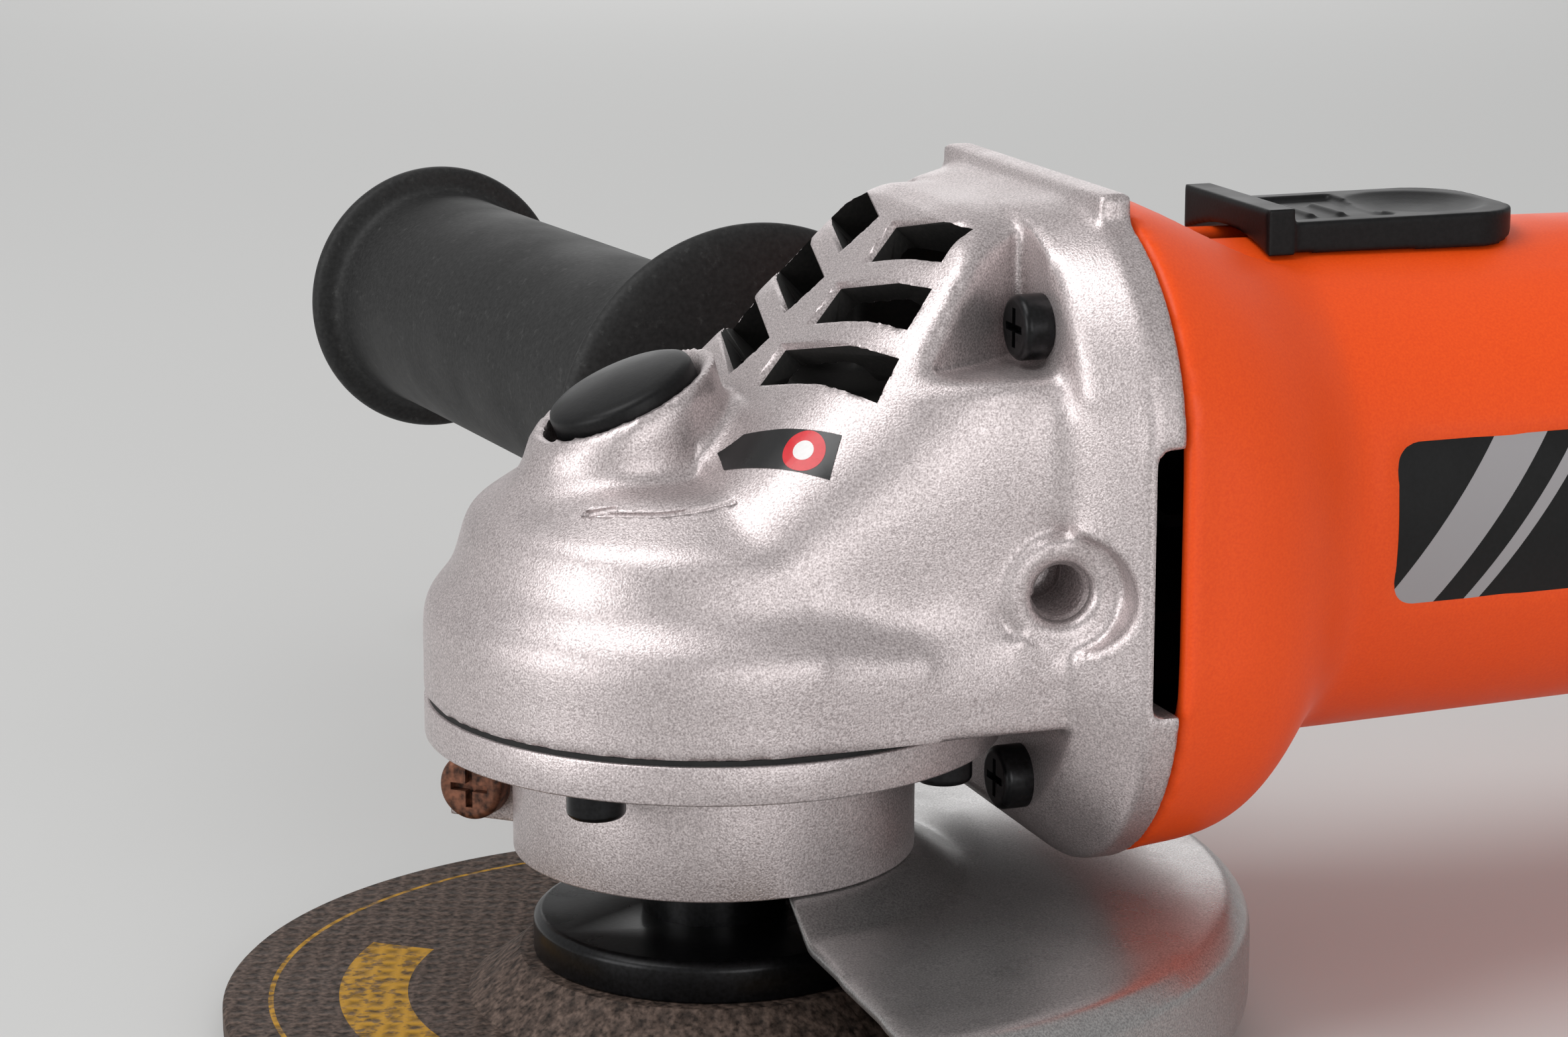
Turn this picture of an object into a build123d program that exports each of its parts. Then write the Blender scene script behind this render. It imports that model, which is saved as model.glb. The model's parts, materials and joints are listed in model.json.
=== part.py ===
from build123d import *
import math
import os

# Angle grinder with a 115 mm depressed-centre wheel, in millimetres.
# Origin: spindle axis at the clamp nut's outer face. +Z up along the spindle, +X back along the motor.

# Wheel and clamping
wheel_d = 115.0
wheel_t = 3.2
wheel_dish = 4.8
wheel_dish_r = 24.0
wheel_bore = 22.2
nut_d = 41.0
nut_t = 5.7
nut_hole_pcd = 30.0
nut_hole_d = 5.0
nut_hole_depth = 4.0
flange_d = 42.4
flange_t = 4.8
pilot_t = 2.4

# Spindle and its bearings
spindle_thread_d = 14.0
spindle_seat_d = 12.0
spindle_top_d = 8.0
lower_bearing_od = 32.0
lower_bearing_w = 10.0
bush_od = 13.0
bush_len = 6.0

# Bevel drive
gear_teeth = 36
pinion_teeth = 10
module = 4.0 / 3.0
face_width = 7.0
pressure_angle = 25.0
backlash = 0.12
root_lap = 0.15
blank_over = 1.02
pinion_hub_len = 2.0
gear_web_t = 4.0
gear_hub_d = 15.0
gear_hub_rise = 2.0
lock_holes = 6

# Gear case and bearing cover
motor_z = 60.0
seam_z = 40.8
gasket_t = 0.6
gasket_inset = 0.5
case_r = 33.4
case_wall = 3.2
shoulder_z = 51.5
band_r = 30.0
band_z = 55.2
terrace_r = 28.2
terrace_z = 61.8
neck_r = 20.5
roof_z = 67.0
slope_z0 = 72.8
side_half = 31.0
roof_corner_low = 14.0
roof_front_inset = 2.5
roof_corner_high = 24.0
top_z = 96.6
rear_flange_x = 31.0
rear_lip_x = 37.4
joint_x = 41.3
rear_flange_w = 79.0
rear_flange_top = 97.6
rear_flange_corner = 26.0
rear_neck_w = 68.0
rear_neck_corner = 23.0
cover_flange_t = 4.4
spigot_d = 42.0
spigot_len = 12.8
cover_register_r = 24.8
pad_half = 23.6
pad_top = 98.9
pad_depth = 8.0
pocket_floor_z = 80.0
pocket_wall_y = 16.2
pocket_spread = 31.0
vent_w = 3.6
vent_len = 20.0
vent_shrink = 3.5
vent_sweep = 16.0
vent_depth = 8.0
duct_half = 14.0
duct_wing_half = 19.0
vent_gap = 7.0
vent_pitch = 6.7
vent_first_x = 5.6
vent_rows = 3

# Spindle lock
lock_x = -10.6
lock_d = 17.2
lock_boss_d = 22.4
lock_boss_z = 75.2
boss_flare = 3.5
lock_tilt = 24.0
lock_proud = 2.2
lock_pin_d = 4.8
lock_travel = 3.0
lock_floor_z = 66.0
lock_spring_len = 7.0
lock_spring_turns = 4
lock_wire_d = 0.8

# Side handle
handle_x = 29.7
handle_z = 56.3
handle_face_y = 32.6
handle_sweep = 6.0
handle_boss_d = 12.8
boss_step = 0.5
handle_bore_d = 6.8
handle_bore_depth = 14.0
stud_d = 6.7
stud_reach = 12.0
grip_gap = 26.0
grip_len = 127.0
grip_d = 34.0
guard_ring_d = 56.0
end_ring_d = 40.0

# Motor housing
housing_wall = 2.6
barrel_r = 30.5
barrel_end_r = 28.6
flare_end_x = 68.0
housing_end_x = 160.0
tail_x = 232.0
tail_r = 27.0
inlet_d = 14.0
inlet_bore_d = 7.4

# Motor
shaft_d = 9.0
pinion_stub_d = 5.6
front_bearing_od = 22.0
front_bearing_w = 7.0
front_bearing_x = 29.5
fan_x = 45.0
fan_r = 27.5
fan_len = 9.0
fan_blades = 14
core_x = 76.0
core_len = 42.0
core_r = 17.0
stator_bore_r = 17.6
stator_r = 26.6
stator_flat = 21.5
commutator_x = 131.0
commutator_len = 14.0
commutator_r = 11.5
rear_bearing_x = 150.0
rear_bearing_od = 19.0
rear_bearing_w = 6.0

# Slide switch
switch_x0 = 55.0
switch_len = 44.0
switch_half = 11.0
switch_seat_z = 90.4
switch_h = 3.0
switch_lip_h = 5.4
switch_lip_t = 3.8
switch_end_round = 7.0
thumb_r = 18.0
thumb_depth = 1.6
thumb_back = 15.0
panel_depth = 0.7
switch_travel = 6.5
rod_w = 6.0
rod_t = 1.6
rod_end_x = 168.0

# Badge
badge_x0 = 72.0
badge_len = 46.0
badge_h = 19.5
badge_t = 0.8

# Guard
guard_r = 62.5
guard_t = 2.0
guard_edge_z = 17.2
guard_skirt = 13.0
guard_cut_x = 1.0
collar_r = 23.4
collar_z0 = 21.6
collar_h = 13.4
ear_gap = 3.0
ear_len = 9.0
ear_t = 2.5
ear_angle = 138.0
guard_bolt_d = 4.8

# Rounded sections stop just short of a full circle
near_round = 0.985

# Fits
running_gap = 0.05
free_gap = 0.3
sliding_gap = 0.25

# Levels that follow from the sizes above
hub_z0 = nut_t
hub_z1 = hub_z0 + wheel_t
rim_z0 = hub_z0 - wheel_dish
flange_z1 = hub_z1 + flange_t
cover_z1 = seam_z - gasket_t
cover_z0 = cover_z1 - cover_flange_t
spigot_z0 = cover_z0 - spigot_len
lower_bearing_z0 = spigot_z0 + 1.6
lower_bearing_z1 = lower_bearing_z0 + lower_bearing_w
gear_pitch_r = module * gear_teeth / 2
pinion_pitch_r = module * pinion_teeth / 2
gear_cone = math.degrees(math.atan2(gear_teeth, pinion_teeth))
cone_len = math.hypot(gear_pitch_r, pinion_pitch_r)
toe_scale = (cone_len - face_width) / cone_len
web_z1 = motor_z - 9.8
web_z0 = web_z1 - gear_web_t
bush_z0 = roof_z - bush_len - 3.0
slope_lean = math.tan(math.radians(lock_tilt))
collar_inner_r = spigot_d / 2 + running_gap
pinion_back_x = gear_pitch_r + pinion_hub_len
rod_z1 = motor_z + 25.0
tail_screw_x = housing_end_x + 4.5
tail_screw_z = motor_z - barrel_end_r + 3.4
tongue_z0 = motor_z - 15.8
tongue_z1 = motor_z - 11.2

Z_UP = (Align.CENTER, Align.CENTER, Align.MIN)
Z_DOWN = (Align.CENTER, Align.CENTER, Align.MAX)


def disc_z(radius, z0, z1, x=0.0, y=0.0):
    return Pos(x, y, z0) * Cylinder(radius, z1 - z0, align=Z_UP)


def ring_z(outer, inner, z0, z1, x=0.0, y=0.0):
    return disc_z(outer, z0, z1, x, y) - disc_z(inner, z0, z1, x, y)


def disc_x(radius, x0, x1, y=0.0, z=motor_z):
    return Pos(x0, y, z) * Rot(0, 90, 0) * Cylinder(radius, x1 - x0, align=Z_UP)


def ring_x(outer, inner, x0, x1, y=0.0, z=motor_z):
    return disc_x(outer, x0, x1, y, z) - disc_x(inner, x0, x1, y, z)


def block(x0, x1, y0, y1, z0, z1):
    low = (Align.MIN, Align.MIN, Align.MIN)
    return Pos(x0, y0, z0) * Box(x1 - x0, y1 - y0, z1 - z0, align=low)


def turned(points, axis=Axis.Z):
    """Solid of revolution from (radius, height) points in the XZ plane."""
    return revolve(Plane.XZ * make_face(Polyline(*points, close=True)), axis)


def across(points, half):
    """Side profile in (x, z), extruded to both sides of the middle plane."""
    return extrude(Plane.XZ * make_face(Polyline(*points, close=True)), half, both=True)


def rounded_x(x, width, corner, z=motor_z):
    return Pos(x, 0, z) * Rot(0, 90, 0) * RectangleRounded(width, width, corner)


def helix_path(radius, z0, z1, turns, steps=4):
    """Helix as tangent arcs: two for each part of a turn, meeting midway."""
    rise = (z1 - z0) / (turns * 2 * math.pi)

    def point(a):
        return Vector(radius * math.cos(a), radius * math.sin(a), z0 + rise * a)

    def heading(a):
        return Vector(-radius * math.sin(a), radius * math.cos(a), rise).normalized()

    edges = []
    for k in range(turns * steps):
        a0 = 2 * math.pi * k / steps
        a1 = 2 * math.pi * (k + 1) / steps
        p0, p1, t0, t1 = point(a0), point(a1), heading(a0), heading(a1)
        chord = p1 - p0
        both = t0 + t1
        bend = 2 * (1 - t0.dot(t1))
        along = chord.dot(both)
        reach = (-along + math.sqrt(along ** 2 + bend * chord.dot(chord))) / bend
        middle = (p0 + t0 * reach + p1 - t1 * reach) * 0.5
        edges.append(Edge.make_tangent_arc(p0, t0, middle))
        edges.append(Edge.make_tangent_arc(middle, edges[-1] % 1, p1))
    return Wire(edges)


def least_gap(path, turns, steps=16):
    """Least distance between points of a coil that lie at least half a turn apart."""
    count = turns * steps
    spots = [path @ (k / count) for k in range(count + 1)]
    return min((b - a).length for i, a in enumerate(spots) for b in spots[i + steps // 2:])


def coil_spring(radius, wire_d, z0, z1, turns):
    path = helix_path(radius, z0 + wire_d / 2, z1 - wire_d / 2, turns)
    print(f"least gap between a spring's turns: {least_gap(path, turns) - wire_d:.2f} mm")
    section = Plane(path @ 0, z_dir=path % 0) * Circle(wire_d / 2)
    return sweep(section, path=path)


# Bevel teeth: flanks are drawn on the back cone and run to the common apex

def involute(angle):
    return math.tan(angle) - angle


def tooth_outline(teeth, cone_deg, addendum, dedendum):
    """Half-widths and heights of a tooth on the back cone, from root to tip."""
    pitch_r = module * teeth / 2 / math.cos(math.radians(cone_deg))
    base_r = pitch_r * math.cos(math.radians(pressure_angle))
    half = (math.pi * module / 2 - backlash) / 2 / pitch_r
    pairs = []
    for height in (-dedendum, -dedendum / 2, 0.0, addendum / 2, addendum):
        r = max(pitch_r + height, base_r)
        flank = half + involute(math.radians(pressure_angle)) - involute(math.acos(base_r / r))
        reach = pitch_r + height
        pairs.append((reach * math.sin(flank), reach * math.cos(flank) - pitch_r))
    return pairs


def bevel_tooth(teeth, cone_deg, addendum, dedendum):
    """One tooth along +X of a wheel whose axis is Z and whose apex is the origin."""
    cone = math.radians(cone_deg)
    out = Vector(math.sin(cone), 0, -math.cos(cone))
    up = Vector(math.cos(cone), 0, math.sin(cone))
    pairs = tooth_outline(teeth, cone_deg, addendum, dedendum)
    loop = [(w, h) for w, h in pairs] + [(-w, h) for w, h in reversed(pairs)]

    def face(scale):
        spots = [out * (cone_len * scale) + up * (h * scale) + Vector(0, w * scale, 0) for w, h in loop]
        return make_face(Polyline(*spots, close=True))

    return loft([face(1.0), face(toe_scale)], ruled=True)


def cone_point(cone_deg, scale, height):
    """Radius and height from the apex of a point above or below the pitch cone."""
    cone = math.radians(cone_deg)
    r = cone_len * scale * math.sin(cone) + height * math.cos(cone)
    z = -cone_len * scale * math.cos(cone) + height * math.sin(cone)
    return r, z


def fused(first, others):
    return first.fuse(*others).clean() if others else first


def make_bevel_gear():
    dedendum = 1.15 * module
    outer_r, outer_z = cone_point(gear_cone, blank_over, -dedendum + root_lap)
    inner_r, inner_z = cone_point(gear_cone, toe_scale / blank_over, -(dedendum - root_lap) * toe_scale)
    low = web_z0 - motor_z
    high = web_z1 - motor_z
    bore = spindle_seat_d / 2
    hub = gear_hub_d / 2
    body = turned([
        (bore, low - gear_hub_rise), (hub, low - gear_hub_rise), (hub, low), (outer_r - 1.5, low),
        (outer_r, low + 1.5), (outer_r, outer_z), (inner_r, inner_z), (inner_r, high), (hub, high),
        (hub, high + gear_hub_rise), (bore, high + gear_hub_rise),
    ])
    step = 360 / gear_teeth
    # the blank's seam is turned under a tooth
    body = Rot(0, 0, step / 2) * body
    for k in range(lock_holes):
        a = 2 * math.pi * k / lock_holes
        body -= disc_z(lock_pin_d / 2 + 0.4, low - 1, high + 1, lock_x * math.cos(a), lock_x * math.sin(a))
    tooth = bevel_tooth(gear_teeth, gear_cone, 0.72 * module, dedendum)
    teeth = [Rot(0, 0, (k + 0.5) * step) * tooth for k in range(gear_teeth)]
    return Pos(0, 0, motor_z) * body.fuse(*teeth)


def make_bevel_pinion():
    pinion_cone = 90 - gear_cone
    dedendum = 1.05 * module
    outer_r, outer_z = cone_point(pinion_cone, blank_over, -dedendum + root_lap)
    inner_r, inner_z = cone_point(pinion_cone, toe_scale / blank_over, -(dedendum - root_lap) * toe_scale)
    body = turned([
        (0, inner_z), (inner_r, inner_z), (outer_r, outer_z), (outer_r, -pinion_back_x), (0, -pinion_back_x),
    ])
    # the blank's seam is turned under a tooth's flank
    body = Rot(0, 0, 180 / pinion_teeth * 0.2) * body
    tooth = bevel_tooth(pinion_teeth, pinion_cone, 0.95 * module, dedendum)
    teeth = [Rot(0, 0, k * 360 / pinion_teeth) * tooth for k in range(pinion_teeth)]
    wheel = fused(body, teeth)
    wheel -= disc_z(pinion_stub_d / 2, -pinion_back_x - 1.0, inner_z + 1.0)
    # the pinion's own axis (down from the apex) is laid back along +X
    return Pos(0, 0, motor_z) * Rot(0, -90, 0) * wheel


# Gear case

def roof_section(x, half, z_top, corner):
    """Section across the case: a box on the seam whose upper corners are well rounded."""
    sketch = Pos(0, (seam_z + z_top) / 2) * Rectangle(2 * half, z_top - seam_z)
    sketch = fillet(sketch.vertices().group_by(Axis.Y)[-1], corner)
    return Plane(origin=(x, 0, 0), x_dir=(0, 1, 0), z_dir=(1, 0, 0)) * sketch


def flange_section(x, width, z_top, corner, shrink=0.0):
    """Rounded section behind the case: its top follows z_top, its sides and bottom the width."""
    z_bottom = motor_z - width / 2
    height = z_top - z_bottom - 2 * shrink
    across_w = width - 2 * shrink
    round_r = min(corner, near_round * across_w / 2, near_round * height / 2)
    return Pos(x, 0, (z_top + z_bottom) / 2) * Rot(0, 90, 0) * RectangleRounded(height, across_w, round_r)


def nose():
    """Round front of the case: an upright band, a leaning shelf, a second terrace and the roof."""
    side = FilletPolyline(
        (case_r, seam_z), (case_r, shoulder_z), (band_r, band_z), (terrace_r, terrace_z), (neck_r, roof_z),
        (0, roof_z),
        radius=[4.5, 4.0, 3.0, 4.0],
    )
    middle = Polyline((0, roof_z), (0, seam_z), (case_r, seam_z))
    return revolve(Plane.XZ * make_face(side.edges() + middle.edges()), Axis.Z)


def lock_boss():
    """Boss of the lock button: its foot flares into the roof, its face leans forwards."""
    side = FilletPolyline(
        (lock_boss_d / 2 + boss_flare, roof_z - boss_flare), (lock_boss_d / 2, roof_z + 1.0),
        (lock_boss_d / 2, lock_boss_z + 12.0), radius=boss_flare,
    )
    middle = Polyline((lock_boss_d / 2, lock_boss_z + 12.0), (0, lock_boss_z + 12.0), (0, roof_z - boss_flare),
                      (lock_boss_d / 2 + boss_flare, roof_z - boss_flare))
    boss = Pos(lock_x, 0, 0) * revolve(Plane.XZ * make_face(side.edges() + middle.edges()), Axis.Z)
    return boss - across(lock_face_cut(lock_boss_z), lock_boss_d)


def case_outside():
    low_x = roof_z - slope_z0
    high_x = top_z - 1.0 - slope_z0
    roof = loft([
        roof_section(low_x, side_half - roof_front_inset, roof_z, roof_corner_low),
        roof_section(high_x, side_half, top_z - 1.0, roof_corner_high),
        roof_section(high_x + 3.0, side_half, top_z, roof_corner_high),
        roof_section(rear_flange_x + 1.0, side_half, top_z, roof_corner_high),
    ], ruled=True)
    skirt = extrude(Pos(0, 0, seam_z) * make_face(Polyline(
        (0, -case_r), (rear_flange_x, -case_r + 0.8), (rear_flange_x, case_r - 0.8), (0, case_r), close=True)),
        shoulder_z - seam_z)
    lip = flange_section(rear_lip_x, rear_flange_w, rear_flange_top, rear_flange_corner)
    rear = loft([flange_section(rear_flange_x, rear_neck_w, top_z, rear_neck_corner), lip], ruled=True)
    rear += extrude(lip, joint_x - rear_lip_x, dir=(1, 0, 0))
    pad = block(rear_lip_x, joint_x, -pad_half, pad_half, pad_top - pad_depth, pad_top)
    return nose() + roof + skirt + rear + lock_boss() + pad


def lock_face_cut(z_mid):
    """Wedge above the leaning face of the lock button's boss."""
    reach = lock_boss_d
    return [
        (lock_x - reach, z_mid - reach * slope_lean), (lock_x + reach, z_mid + reach * slope_lean),
        (lock_x + reach, z_mid + 40), (lock_x - reach, z_mid + 40),
    ]


def handle_axis(side):
    """Plane at the boss face; its z runs outwards along the handle."""
    lean = math.radians(handle_sweep)
    return Plane(origin=(handle_x, side * handle_face_y, handle_z), x_dir=(0, 0, 1),
                 z_dir=(-math.sin(lean), side * math.cos(lean), 0))


def screw_pocket(side):
    """Notch over an upper case screw: three-cornered in plan, open to the side and above."""
    spread = math.tan(math.radians(pocket_spread))
    reach = rear_flange_w
    plan = make_face(Polyline(
        (rear_flange_x, side * pocket_wall_y), (rear_flange_x, side * (pocket_wall_y + reach * spread)),
        (rear_flange_x - reach, side * (pocket_wall_y + reach * spread)), close=True))
    return extrude(Pos(0, 0, pocket_floor_z) * plan, top_z - pocket_floor_z + 5.0, dir=(0, 0, 1))


cover_screw_spots = [(sx * 20.5, sy * 20.5) for sx in (-1, 1) for sy in (-1, 1)]
case_screw_spots = [(22.5, 84.5), (-22.5, 84.5), (18.5, 31.6), (-18.5, 31.6)]


def make_gear_case():
    case = case_outside()
    for side in (-1, 1):
        seat = handle_axis(side)
        case += seat * Cylinder(handle_boss_d / 2, 10, align=Z_DOWN)
        case -= seat * Cylinder(handle_boss_d / 2 + boss_step, 30, align=Z_UP)
        case -= screw_pocket(side)
    # gear chamber, upper bush and pinion tunnel
    chamber_r = case_r - case_wall
    case -= disc_z(chamber_r, seam_z, band_z - case_wall)
    case -= disc_z(band_r - case_wall, seam_z, terrace_z - case_wall)
    case -= disc_z(neck_r, seam_z, roof_z - case_wall)
    case += disc_z(bush_od / 2 + 1.6, bush_z0, roof_z)
    case -= disc_z(bush_od / 2, bush_z0, bush_z0 + bush_len)
    case -= disc_x(pinion_pitch_r + 2.8, 0, front_bearing_x)
    case -= disc_x(front_bearing_od / 2, front_bearing_x, joint_x)
    for x, y in cover_screw_spots:
        case += disc_z(3.6, seam_z, band_z - case_wall, x, y)
        case -= disc_z(1.9, seam_z, seam_z + 10, x, y)
    # fan chamber in the rear flange and the air duct behind the vents
    case -= disc_x(rear_flange_w / 2 - 5.5, joint_x - 3.0, joint_x)
    duct_x0 = vent_first_x + 1.0
    case -= across([
        (duct_x0, motor_z + 13.5), (joint_x, motor_z + 13.5), (joint_x, top_z - 6),
        (top_z - 6 - slope_z0 + 5, top_z - 6), (duct_x0, slope_z0 + duct_x0 - 5),
    ], duct_half)
    wing_x0 = motor_z + 13.5 + 10 - slope_z0
    wing_x1 = vent_first_x + (vent_rows - 1) * vent_pitch + vent_w
    case -= across([
        (wing_x0, motor_z + 13.5), (wing_x1, motor_z + 13.5), (wing_x1, slope_z0 + wing_x1 - 10),
    ], duct_wing_half)
    # vents: swept back from the middle, shorter row by row
    for row in range(vent_rows):
        x0 = vent_first_x + row * vent_pitch
        for side in (-1, 1):
            y0, y1 = sorted((0, side * (vent_len - row * vent_shrink)))
            slot = block(-vent_w * 0.7, vent_w * 0.7, y0, y1, -vent_depth, 8)
            slot = Pos(0, side * vent_gap / 2, 0) * Rot(0, 0, -side * vent_sweep) * slot
            case -= Pos(x0, 0, slope_z0 + x0) * Rot(0, -45, 0) * slot
    # exhaust windows at both sides of the rear flange
    for side in (-1, 1):
        y0, y1 = sorted((side * 28, side * 45))
        case -= block(joint_x - 3.4, joint_x, y0, y1, motor_z - 17, motor_z + 13)
        seat = handle_axis(side)
        case -= seat * Cylinder(handle_bore_d / 2, handle_bore_depth, align=Z_DOWN)
        case -= seat * Pos(0, 0, -0.9) * Cone(handle_bore_d / 2, handle_bore_d / 2 + 0.9, 0.9, align=Z_UP)
    # lock button bore and pin hole
    case -= disc_z(lock_d / 2 + sliding_gap, lock_floor_z, lock_boss_z + 15, lock_x)
    case -= disc_z(lock_pin_d / 2 + sliding_gap, bush_z0 - 4, lock_floor_z, lock_x)
    for y, z in case_screw_spots:
        case -= disc_x(2.2, rear_flange_x - 1, joint_x, y, z)
    return case


def make_bearing_cover():
    cover = extrude(Pos(0, 0, cover_z0) * cover_sketch(), cover_flange_t)
    cover += disc_z(spigot_d / 2, spigot_z0, cover_z1)
    cover += disc_z(cover_register_r, cover_z1, cover_z1 + gasket_t + 1.0)
    cover -= disc_z(lower_bearing_od / 2, lower_bearing_z0, lower_bearing_z1 + 1.2)
    cover -= disc_z(lower_bearing_od / 2 - 3, spigot_z0, lower_bearing_z0)
    cover -= disc_z(lower_bearing_od / 2 - 4, lower_bearing_z1, cover_z1 + gasket_t + 2)
    cover -= ring_z(lower_bearing_od / 2 + 1.0, lower_bearing_od / 2 - 4.1,
                    lower_bearing_z1, lower_bearing_z1 + 1.2)
    cover -= disc_z(lower_bearing_od / 2, lower_bearing_z1 + 1.2, cover_z1 + gasket_t + 2)
    for x, y in cover_screw_spots:
        cover -= disc_z(2.1, cover_z0 - 1, cover_z1 + 1, x, y)
    return cover


def cover_sketch(inset=0.0):
    """Round plate, cut straight where it meets the rear flange."""
    reach = 2 * case_r
    back = rear_flange_x - free_gap - inset
    return Circle(case_r - inset) & Pos(back - reach, 0) * Rectangle(2 * reach, 2 * reach)


def make_cover_gasket():
    sheet = extrude(Pos(0, 0, cover_z1) * cover_sketch(gasket_inset), gasket_t)
    sheet -= disc_z(cover_register_r + free_gap, cover_z1 - 1, seam_z + 1)
    for x, y in cover_screw_spots:
        sheet -= disc_z(2.1, cover_z1 - 1, seam_z + 1, x, y)
    return sheet


def pan_screw(shank_r, length, head_r, head_h):
    """Screw along +Z, the head's bearing face at the origin, the head below it."""
    head = fillet(disc_z(head_r, -head_h, 0).edges().sort_by(Axis.Z)[:1], 0.8)
    slots = block(-head_r * 0.6, head_r * 0.6, -0.45, 0.45, -head_h, -head_h + 1.1)
    slots += block(-0.45, 0.45, -head_r * 0.6, head_r * 0.6, -head_h, -head_h + 1.1)
    return head + disc_z(shank_r, 0, length) - slots


def make_cover_screws():
    screw = pan_screw(1.9, 12.0, 3.3, 3.2)
    return Compound([Pos(x, y, cover_z0) * screw for x, y in cover_screw_spots])


def make_case_screws():
    screw = Rot(0, 90, 0) * pan_screw(2.1, 24.0, 3.7, 3.4)
    return Compound([Pos(rear_flange_x, y, z) * screw for y, z in case_screw_spots])


# Spindle group

def make_spindle():
    shoulder = lower_bearing_z0
    shaft = turned([
        (0, 1.2), (spindle_thread_d / 2 - 1, 1.2), (spindle_thread_d / 2, 2.2), (spindle_thread_d / 2, flange_z1),
        (8.4, flange_z1), (8.4, shoulder), (spindle_seat_d / 2, shoulder), (spindle_seat_d / 2, web_z1 + 3.6),
        (spindle_top_d / 2, web_z1 + 4.6), (spindle_top_d / 2, bush_z0 + bush_len - 1),
        (0, bush_z0 + bush_len - 1),
    ])
    return shaft


def make_inner_flange():
    plate = disc_z(flange_d / 2, hub_z1, flange_z1)
    plate = chamfer(plate.edges().sort_by(Axis.Z)[-1:], 0.8)
    plate += disc_z(wheel_bore / 2 - 0.1, hub_z1 - pilot_t, hub_z1)
    plate -= ring_z(flange_d / 2 - 5, wheel_bore / 2 + 1.5, hub_z1, hub_z1 + 0.8)
    plate -= disc_z(spindle_thread_d / 2, hub_z1 - pilot_t - 1, flange_z1 + 1)
    return plate


def make_wheel():
    rim_r = wheel_d / 2
    wheel = turned([
        (wheel_bore / 2, hub_z0), (wheel_dish_r, hub_z0), (wheel_dish_r + wheel_dish + 1, rim_z0),
        (rim_r, rim_z0), (rim_r, rim_z0 + wheel_t), (wheel_dish_r + wheel_dish - 0.4, rim_z0 + wheel_t),
        (wheel_dish_r - 1.4, hub_z1), (wheel_bore / 2, hub_z1),
    ])
    return wheel


def make_clamp_nut():
    nut = disc_z(nut_d / 2, 0, nut_t)
    nut = chamfer(nut.edges().sort_by(Axis.Z)[:1], 1.0)
    nut += disc_z(wheel_bore / 2 - 0.2, nut_t, hub_z1 - pilot_t - 0.2)
    nut -= disc_z(spindle_thread_d / 2, -1, hub_z1)
    for side in (-1, 1):
        nut -= disc_z(nut_hole_d / 2, 0, nut_hole_depth, 0, side * nut_hole_pcd / 2)
    return nut


def bearing_z(od, bore, z0, width):
    return turned([
        (bore / 2, z0), (bore / 2 + 2, z0), (bore / 2 + 2.3, z0 + 0.4), (od / 2 - 2.3, z0 + 0.4),
        (od / 2 - 2, z0), (od / 2, z0), (od / 2, z0 + width), (od / 2 - 2, z0 + width),
        (od / 2 - 2.3, z0 + width - 0.4),
        (bore / 2 + 2.3, z0 + width - 0.4), (bore / 2 + 2, z0 + width), (bore / 2, z0 + width),
    ])


def bearing_x(od, bore, x0, width):
    return Pos(x0, 0, motor_z) * Rot(0, 90, 0) * bearing_z(od, bore, 0, width)


def snap_ring(outer, inner, z0, z1):
    ring = ring_z(outer, inner, z0, z1)
    return ring - block(inner - 1, outer + 1, -2, 2, z0, z1)


# Motor

def make_shaft():
    tip_x = toe_scale * gear_pitch_r - 5.5
    return (disc_x(pinion_stub_d / 2, tip_x, pinion_back_x)
            + disc_x(4.0, pinion_back_x, fan_x - 1)
            + disc_x(shaft_d / 2, fan_x - 1, commutator_x + commutator_len + 2)
            + disc_x(3.5, commutator_x + commutator_len + 2, rear_bearing_x + rear_bearing_w))


def make_core():
    core = disc_x(core_r, core_x, core_x + core_len)
    slot = block(0, core_len, -1.1, 1.1, core_r - 6, core_r + 1)
    slots = [Pos(core_x, 0, motor_z) * Rot(k * 30, 0, 0) * slot for k in range(12)]
    return core.cut(*slots) - disc_x(shaft_d / 2, core_x, core_x + core_len)


def make_windings():
    inner = shaft_d / 2
    front = turned([(inner, 0), (core_r - 2, 0), (core_r - 3, 8), (inner + 3, 10), (inner, 10)])
    rear = turned([(inner, 0), (core_r - 2, 0), (core_r - 3, 9), (inner + 4, 12), (inner, 12)])
    return Compound([Pos(core_x, 0, motor_z) * Rot(0, -90, 0) * front,
                     Pos(core_x + core_len, 0, motor_z) * Rot(0, 90, 0) * rear])


def make_commutator():
    drum = ring_x(commutator_r, shaft_d / 2, commutator_x, commutator_x + commutator_len)
    drum += ring_x(commutator_r + 1.2, shaft_d / 2, commutator_x - 1.0, commutator_x + 1.5)
    cuts = [Pos(commutator_x, 0, motor_z) * Rot(k * 15, 0, 0)
            * block(1.5, commutator_len, -0.25, 0.25, commutator_r - 0.6, commutator_r + 2) for k in range(24)]
    return drum.cut(*cuts)


def make_fan():
    hub = ring_x(9.0, shaft_d / 2, fan_x, fan_x + fan_len)
    hub += ring_x(fan_r, 8.0, fan_x + fan_len - 2.0, fan_x + fan_len)
    blade = Pos(0, 0, 14) * Rot(18, 0, 0) * Pos(0, 0, -14) * block(0, fan_len - 1, -0.7, 0.7, 13, fan_r - 1)
    blades = [Pos(fan_x, 0, motor_z) * Rot(k * 360 / fan_blades, 0, 0) * blade for k in range(fan_blades)]
    return fused(hub, blades)


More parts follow.
